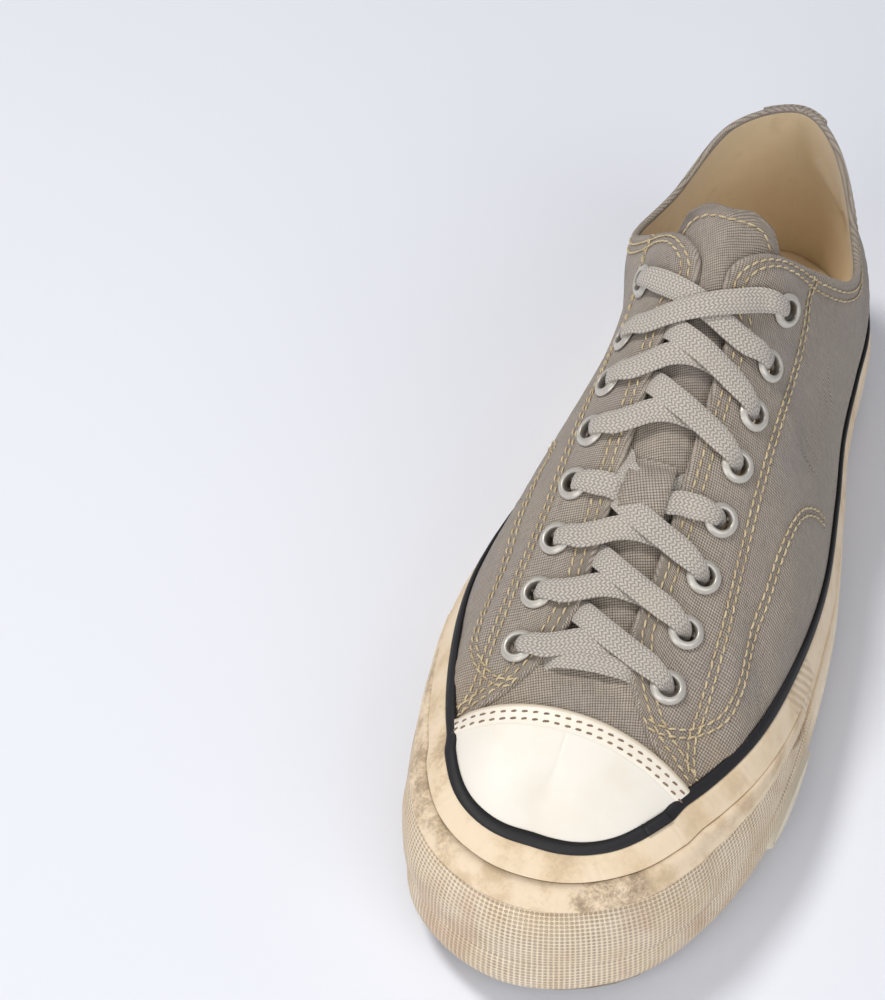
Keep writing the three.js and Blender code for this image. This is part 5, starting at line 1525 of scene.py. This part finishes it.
make_piece("eyelet_rings", np.concatenate(points), faces, ("eyelet paint",),
           [ring["node"] for ring in RINGS], np.concatenate(place))


# %% [markdown]
# A lace is a flat braid. It is swept along a line that is written as stops over the plan: x and y, the height
# above the closed canvas, and how wide it is there. At an eyelet it bunches up and dives into the ring, and
# under the opposite flap it runs out of sight to the next ring, so that it is one lace from end to end.
#
# %% Laces
LACE_WIDTH, LACE_THICKNESS = 7.2, 1.7
FLAT, PRESSED, TUCKED, BAR = (LACE_WIDTH, LACE_THICKNESS), (LACE_WIDTH, 1.6), (7.0, 1.4), (6.4, 1.4)
CROSS_RISE = 13
EYE = {(ring["side"], ring["number"]): ring for ring in RINGS if "x" in ring}
ABOVE_RING = SEAT + FLANGE_THICKNESS + 0.75
HIDDEN = -3.4


def out_of(side, k, rise):
    """Stops up through a ring and over its edge towards the slot."""
    ring = EYE[(side, k)]
    x, y, top = ring["x"], ring["y"], ABOVE_RING + ring["seat"]
    return [(x - side * 0.1, y, -3.2, 4.6, 2.2), (x - side * 0.5, y, 0.0, 4.7, 2.3),
            (x - side * 1.7, y + rise * 0.06, top - 0.25, 5.0, 2.1),
            (x - side * 4.6, y + rise * 0.17, top + 0.15, 6.4, 1.8),
            (x - side * 7.2, y + rise * 0.28, top * 0.62 + 0.45, LACE_WIDTH, LACE_THICKNESS)]


def into(side, k, rise):
    return out_of(side, k, rise)[::-1]


def under_flap(side, k, y):
    """Stops below a flap on the way to the ring that the lace comes up through next."""
    ring = EYE[(side, k)]
    return [(side * 12.5, y, HIDDEN, 7.0, 1.2),
            (side * 17.5, (y + ring["y"]) / 2 + 1, HIDDEN - 0.3, 6.0, 1.2),
            (side * 20.6, ring["y"] - 0.6, HIDDEN - 0.6, 5.0, 1.6)]


def over_strand(k):
    """The outer strand of a row: over the slot, and down under the inner flap's edge."""
    y = EYE[(1, k)]["y"]
    return [*out_of(1, k, 0.85 * CROSS_RISE), (7.5, y + 5.2, 1.9, *FLAT), (3.6, y + 6.6, 2.25, *FLAT),
            (-1.5, y + 8.9, 1.6, *FLAT), (-6.0, y + 11.4, 0.1, *PRESSED), (-9.4, y + 13.2, -2.3, *TUCKED),
            *under_flap(-1, k + 1, y + 14.2)]


def under_strand(k):
    """The inner strand of a row: lower, under the outer one, and down under the outer flap's edge."""
    y = EYE[(-1, k)]["y"]
    return [*out_of(-1, k, 0.1 * CROSS_RISE), (-9.6, y + 1.9, 1.3, *FLAT), (-4.6, y + 4.0, 1.1, *FLAT),
            (0.5, y + 5.1, 0.6, *PRESSED), (5.0, y + 5.4, -0.5, LACE_WIDTH, 1.5),
            (9.2, y + 6.0, -2.4, *TUCKED), *under_flap(1, k + 1, y + 8.5)]


KEEPER_WIDTH, KEEPER_LENGTH, KEEPER_THICKNESS, KEEPER_ROOM = 12, 15.5, 1.0, 1.1
KEEPER_Y = EYE[(-1, 4)]["y"] - 1.0


def through_keeper(side):
    """One of the pair that meets in the keeper: in from its own side, and out under the other flap."""
    y = EYE[(side, 4)]["y"]
    lift, far = (1.1, 7.5) if side > 0 else (-0.6, 4.5)
    return [*out_of(side, 4, -2.0), (side * 9.6, y - 1.0, 0.9, 7.0, 1.7),
            (side * 6.2, KEEPER_Y - 1.0, lift, 6.6, 1.6), (0, KEEPER_Y, lift, 6.2, 1.6),
            (-side * 6.2, KEEPER_Y + far / 2, lift - 0.4, 6.6, 1.5),
            (-side * 9.6, KEEPER_Y + far, -2.5, 7.0, 1.3), *under_flap(-side, 5, KEEPER_Y + far + 2.5)]


def top_strand(side):
    """The last crossing: from row seven up to the opposite top ring, where the end goes back in."""
    y = EYE[(side, 7)]["y"]
    if side < 0:
        return [*out_of(side, 7, -6), (-8.0, y - 1.0, 1.9, *FLAT), (0.0, y + 1.4, 2.5, *FLAT),
                (7.0, y + 5.8, 2.5, *FLAT), *into(1, 8, -16)]
    return [*out_of(side, 7, -4), (8.0, y - 0.2, 1.0, *FLAT), (0.5, y + 2.6, 0.6, *PRESSED),
            (-7.0, y + 6.4, 1.1, *FLAT), *into(-1, 8, -20)]


def whole_lace(side):
    """All the stops of one half of the lace, from the bar to its last ring."""
    y, slope = EYE[(1, 1)]["y"] - 0.5, 0.9 if side > 0 else -1.4
    stops = [(-side * 0.4, y, 0.5, *BAR), (side * 5.0, y + 0.4 * slope, 0.45, *BAR),
             (side * 9.2, y + 0.8 * slope, 0.1, 6.4, 1.3), (side * 12.4, y + slope, -1.8, 6.4, 1.3),
             (side * 16, y + 0.8 * slope, HIDDEN - 0.2, 6.0, 1.3),
             (side * 20.4, y - 0.6, HIDDEN - 0.4, 5.0, 1.7)]
    for k in range(1, 8):
        at = side if k % 2 else -side
        if k == 4:
            stops += through_keeper(at)
        elif k == 7:
            stops += top_strand(at)
        else:
            stops += over_strand(k) if at > 0 else under_strand(k)
    return np.array(stops, float)


LACE_STEP = 0.7
LACE_RING = 18


def spread(rows, window):
    """Rows of values, each averaged with its neighbours by the weights of a window."""
    reach = len(window) // 2
    padded = np.pad(rows, ((reach, reach), (0, 0)), "edge")
    return np.stack([np.convolve(column, window, "valid") for column in padded.T], -1)


def sweep_lace(stops):
    """A flat rounded braid along the stops, as a grid of points, with its place across and along."""
    raised = stops[:, :3] * [1, 1.1, 1.6]
    hops = np.linalg.norm(np.diff(raised, axis=0), axis=-1)
    chord = np.concatenate([[0], np.cumsum(np.maximum(hops, 0.3) ** 0.75)])
    at = np.linspace(0, chord[-1], 2600)
    dense = smooth_at(at, chord, stops)
    rough = dense[:, :3] * [1, 1.12, 1]
    run = lengths(rough[None], 1)[0]
    keep = np.arange(0, run[-1], LACE_STEP)
    x, y, h, wide, thick = read_at(keep, run, dense).T
    centre, normal = over_plan(x, y, h)
    plan_x, plan_y = np.gradient(x), np.gradient(y)
    heading = spread(np.column_stack([plan_x, plan_y, 0 * x]), np.exp(-(np.arange(-14, 15) / 6.0) ** 2))
    tangent = unit(np.gradient(centre, axis=0))
    width_way = unit(np.cross(normal, unit(heading)))
    width_way = unit(width_way - (width_way * tangent).sum(-1, keepdims=True) * tangent)
    for k in range(1, len(width_way)):
        if width_way[k] @ width_way[k - 1] < 0:
            width_way[k] *= -1
    width_way = unit(spread(width_way, np.ones(9) / 9))
    thick_way = np.cross(tangent, width_way)
    turn = around(LACE_RING)
    c, s = np.cos(turn), np.sin(turn)
    flat_c, flat_s = np.sign(c) * np.abs(c) ** 0.75, np.sign(s) * np.abs(s) ** 0.8
    run = lengths(centre[None], 1)[0]
    cup = 0.12 * np.sin(run / 7.0)[:, None] * (1 - flat_c ** 2)[None]
    points = (centre[:, None] + width_way[:, None] * (flat_c[None] * wide[:, None] / 2)[..., None]
              + thick_way[:, None] * (flat_s[None] * thick[:, None] / 2 + cup)[..., None])
    place = np.stack([np.broadcast_to(flat_c[None] * LACE_WIDTH / 2, points.shape[:2]),
                      np.broadcast_to(run[:, None], points.shape[:2]),
                      np.broadcast_to(flat_s[None], points.shape[:2])], -1)
    return points, place


for side, name in ((1, "lace_first_half"), (-1, "lace_second_half")):
    points, place = sweep_lace(whole_lace(side))
    count = len(points)
    quads = grid_faces(LACE_RING, count, closed=True)
    i, j = quads // count, quads % count
    faces = (j * LACE_RING + i).tolist()
    faces += [list(range(LACE_RING))[::-1], [(count - 1) * LACE_RING + k for k in range(LACE_RING)]]
    stands = (["lace_bar", "lace_cross_1", "lace_cross_2", "lace_cross_3", "lace_keeper_pair", "lace_cross_5",
               "lace_cross_6", "lace_top_cross"] if side > 0 else [])
    make_piece(name, points.reshape(-1, 3), faces, ("lace braid",), stands, place.reshape(-1, 3))
    print(name, "visible and hidden length", round(float(place[-1, 0, 1])), "mm")


# %% [markdown]
# The keeper is a short strap of canvas sewn over the tongue, with the lace through it.
#
# %% Keeper
ARCH = ([-1, -0.86, -0.72, -0.45, 0, 0.45, 0.72, 0.86, 1], [0, 0.10, 0.55, 0.95, 1, 0.95, 0.55, 0.10, 0])
seat = TONGUE_SKIN + TONGUE_CROWN + 0.35
room = LACE_THICKNESS + 0.6 + KEEPER_ROOM
along_strap, over_strap = np.linspace(-1, 1, 41), np.linspace(-1, 1, 25)
gx, gy = np.meshgrid(over_strap * KEEPER_WIDTH / 2, KEEPER_Y + along_strap * KEEPER_LENGTH / 2, indexing="ij")
lift = seat + room * np.clip(smooth_through(*ARCH, along_strap), 0, 1.1)[None]
tilt = 0.25 * over_strap[:, None]
outer, _ = over_plan(gx, gy, lift + KEEPER_THICKNESS + tilt)
inner, _ = over_plan(gx, gy, lift + tilt)
faces = grid_faces(25, 41)
place = np.stack([gx, lengths(outer, 1), 6 - np.abs(gx)], -1).reshape(-1, 3)
make_sheet("keeper", outer.reshape(-1, 3), inner.reshape(-1, 3), faces, place, ("canvas",),
           ["lace_keeper"])


# %% [markdown]
# A stitch is a short twist of thread that comes up, lies on the cloth and goes down again. One small shape is
# repeated along every row, with slight differences in turn and length that are drawn from a fixed seed. Real
# geometry is worth it here: the rows are the shoe's strongest drawing, and a painted dash has no shadow.
#
# %% Stitches
STITCH, GAP, THREAD = 2.3, 0.7, 0.27
rng = np.random.default_rng(7)
ALONG = np.array([-1.0, -0.86, -0.5, 0.0, 0.5, 0.86, 1.0])
GIRTH = np.array([0.35, 0.8, 1.0, 1.05, 1.0, 0.8, 0.35])
DIVE = np.array([-1.5, -0.7, -0.05, 0.1, -0.05, -0.7, -1.5])
THREAD_SIDES = 7


def sew(rows, stitch=STITCH, gap=GAP, thread=THREAD, sink=0.05):
    """Stitches along rows of (places, normals), as one set of points, faces and places."""
    points, faces, place, start = [], [], [], 0
    turn = around(THREAD_SIDES)
    grid = grid_faces(THREAD_SIDES, len(ALONG), closed=True)
    for places, normals in rows:
        run = lengths(places[None], 1)[0]
        for at in np.arange(stitch, run[-1] - stitch / 2, stitch + gap):
            behind, middle, ahead = read_at(at + np.array([-0.5, 0, 0.5]) * stitch, run, places)
            up = unit(normals[min(int(np.searchsorted(run, at)), len(normals) - 1)])
            if np.linalg.norm(ahead - behind) < 0.3 * stitch:
                continue
            forward = unit(ahead - behind)
            across = unit(np.cross(up, forward))
            up = np.cross(forward, across)
            forward = unit(forward + across * (0.13 + rng.normal(0, 0.05)))
            across = np.cross(up, forward)
            half = stitch / 2 * (1 + rng.normal(0, 0.06))
            line = middle + forward * (ALONG * half)[:, None] + up * ((DIVE + 0.55) * thread - sink)[:, None]
            body = line[None] + (across * np.cos(turn)[:, None])[:, None] * (GIRTH * thread * 1.15)[:, None] \
                + (up * np.sin(turn)[:, None])[:, None] * (GIRTH * thread)[:, None]
            points.append(body.reshape(-1, 3))
            faces += (grid + start).tolist()
            faces += [[start + s * len(ALONG) for s in range(THREAD_SIDES)],
                      [start + s * len(ALONG) + len(ALONG) - 1 for s in reversed(range(THREAD_SIDES))]]
            place.append(np.stack(np.broadcast_arrays(turn[:, None] * 2, (ALONG * half)[None], rng.random()),
                                  -1).reshape(-1, 3))
            start += body.shape[0] * body.shape[1]
    return np.concatenate(points), faces, np.concatenate(place)


upper_rows = [*SEAMS[1], *SEAMS[-1], *BACK_SEAMS, *TONGUE_SEAMS]
points, faces, place = sew(upper_rows)
make_piece("cream_stitches", points, faces, ("cream thread",), [], place)
points, faces, place = sew(CAP_ROWS, stitch=1.9, gap=1.1, thread=0.27, sink=0.12)
make_piece("cap_stitches", points, faces, ("brown thread",), [], place)


# %% [markdown]
# The photo looks down at the shoe from in front and a little to its outer side. The camera's place was fitted
# to marks on the shoe: its angle round and above it, its distance, a slight roll, and its focal length.
#
# %% Camera
AZIMUTH, ELEVATION, ROLL = math.radians(22.53), math.radians(48.25), math.radians(-2.40)
DISTANCE, FOCAL_PIXELS, PHOTO_HEIGHT, SENSOR = 0.633, 2108, 1000, 36.0
TARGET = np.array([-0.06918, -0.01849, 0.040])
back = np.array([math.sin(AZIMUTH) * math.cos(ELEVATION), -math.cos(AZIMUTH) * math.cos(ELEVATION),
                 math.sin(ELEVATION)])
right = unit(np.cross(-back, [0, 0, 1.0]))
above = np.cross(right, -back)
rolled_right = math.cos(ROLL) * right + math.sin(ROLL) * above
rolled_up = math.cos(ROLL) * above - math.sin(ROLL) * right
camera_data = bpy.data.cameras.new("camera")
camera_data.sensor_fit = "VERTICAL"
camera_data.sensor_height = SENSOR
camera_data.lens = FOCAL_PIXELS / PHOTO_HEIGHT * SENSOR
camera_data.clip_start = 0.01
camera = bpy.data.objects.new("camera", camera_data)
bpy.context.scene.collection.objects.link(camera)
turned = Matrix(np.column_stack([rolled_right, rolled_up, back]).tolist()).to_4x4()
turned.translation = Vector(TARGET + back * DISTANCE)
camera.matrix_world = turned
bpy.context.scene.camera = camera
print("camera at", [round(v, 3) for v in camera.matrix_world.translation])

# %% [markdown]
# Light: a soft lamp high on the left, a large one on the right and one in front, and a pale surround. The
# floor is a plain pale sheet.
#
# %% Light and floor
def lamp(name, place, size, power, colour=(1, 1, 1)):
    data = bpy.data.lights.new(name, "AREA")
    data.shape, data.size, data.energy, data.color = "DISK", size, power, colour
    item = bpy.data.objects.new(name, data)
    bpy.context.scene.collection.objects.link(item)
    item.location = place
    toward = Vector((0, 0, 0.03)) - Vector(place)
    item.rotation_euler = toward.to_track_quat("-Z", "Y").to_euler()


lamp("key", (-0.56, 0.02, 1.30), 0.34, 9.6, (1.0, 0.98, 0.95))
lamp("fill", (0.9, -0.8, 0.9), 1.2, 7.2)
lamp("front", (-0.3, -1.2, 0.7), 1.0, 6.0)
world = bpy.data.worlds.new("surround")
world.use_nodes = True
surround = next(n for n in world.node_tree.nodes if n.type == "BACKGROUND")
surround.inputs["Color"].default_value = (0.88, 0.91, 1.0, 1.0)
surround.inputs["Strength"].default_value = 0.28
bpy.context.scene.world = world
bpy.context.scene.view_settings.view_transform = "Standard"

floor_mesh = bpy.data.meshes.new("floor")
reach = 3.0
floor_mesh.from_pydata([(-reach, -reach, 0), (reach, -reach, 0), (reach, reach, 0), (-reach, reach, 0)], [],
                       [(0, 1, 2, 3)])
floor_finish = Finish("floor paint", roughness=0.9, specular_ior_level=0.1)
tone = floor_finish.noise(floor_finish.point(), 300.0, 2.0)
floor_finish.put("Base Color", floor_finish.mix("#eef0f6", "#ebedf4", tone))
floor_mesh.materials.append(floor_finish.material)
floor = bpy.data.objects.new("floor", floor_mesh)
floor.location.z = -0.0002
bpy.context.scene.collection.objects.link(floor)
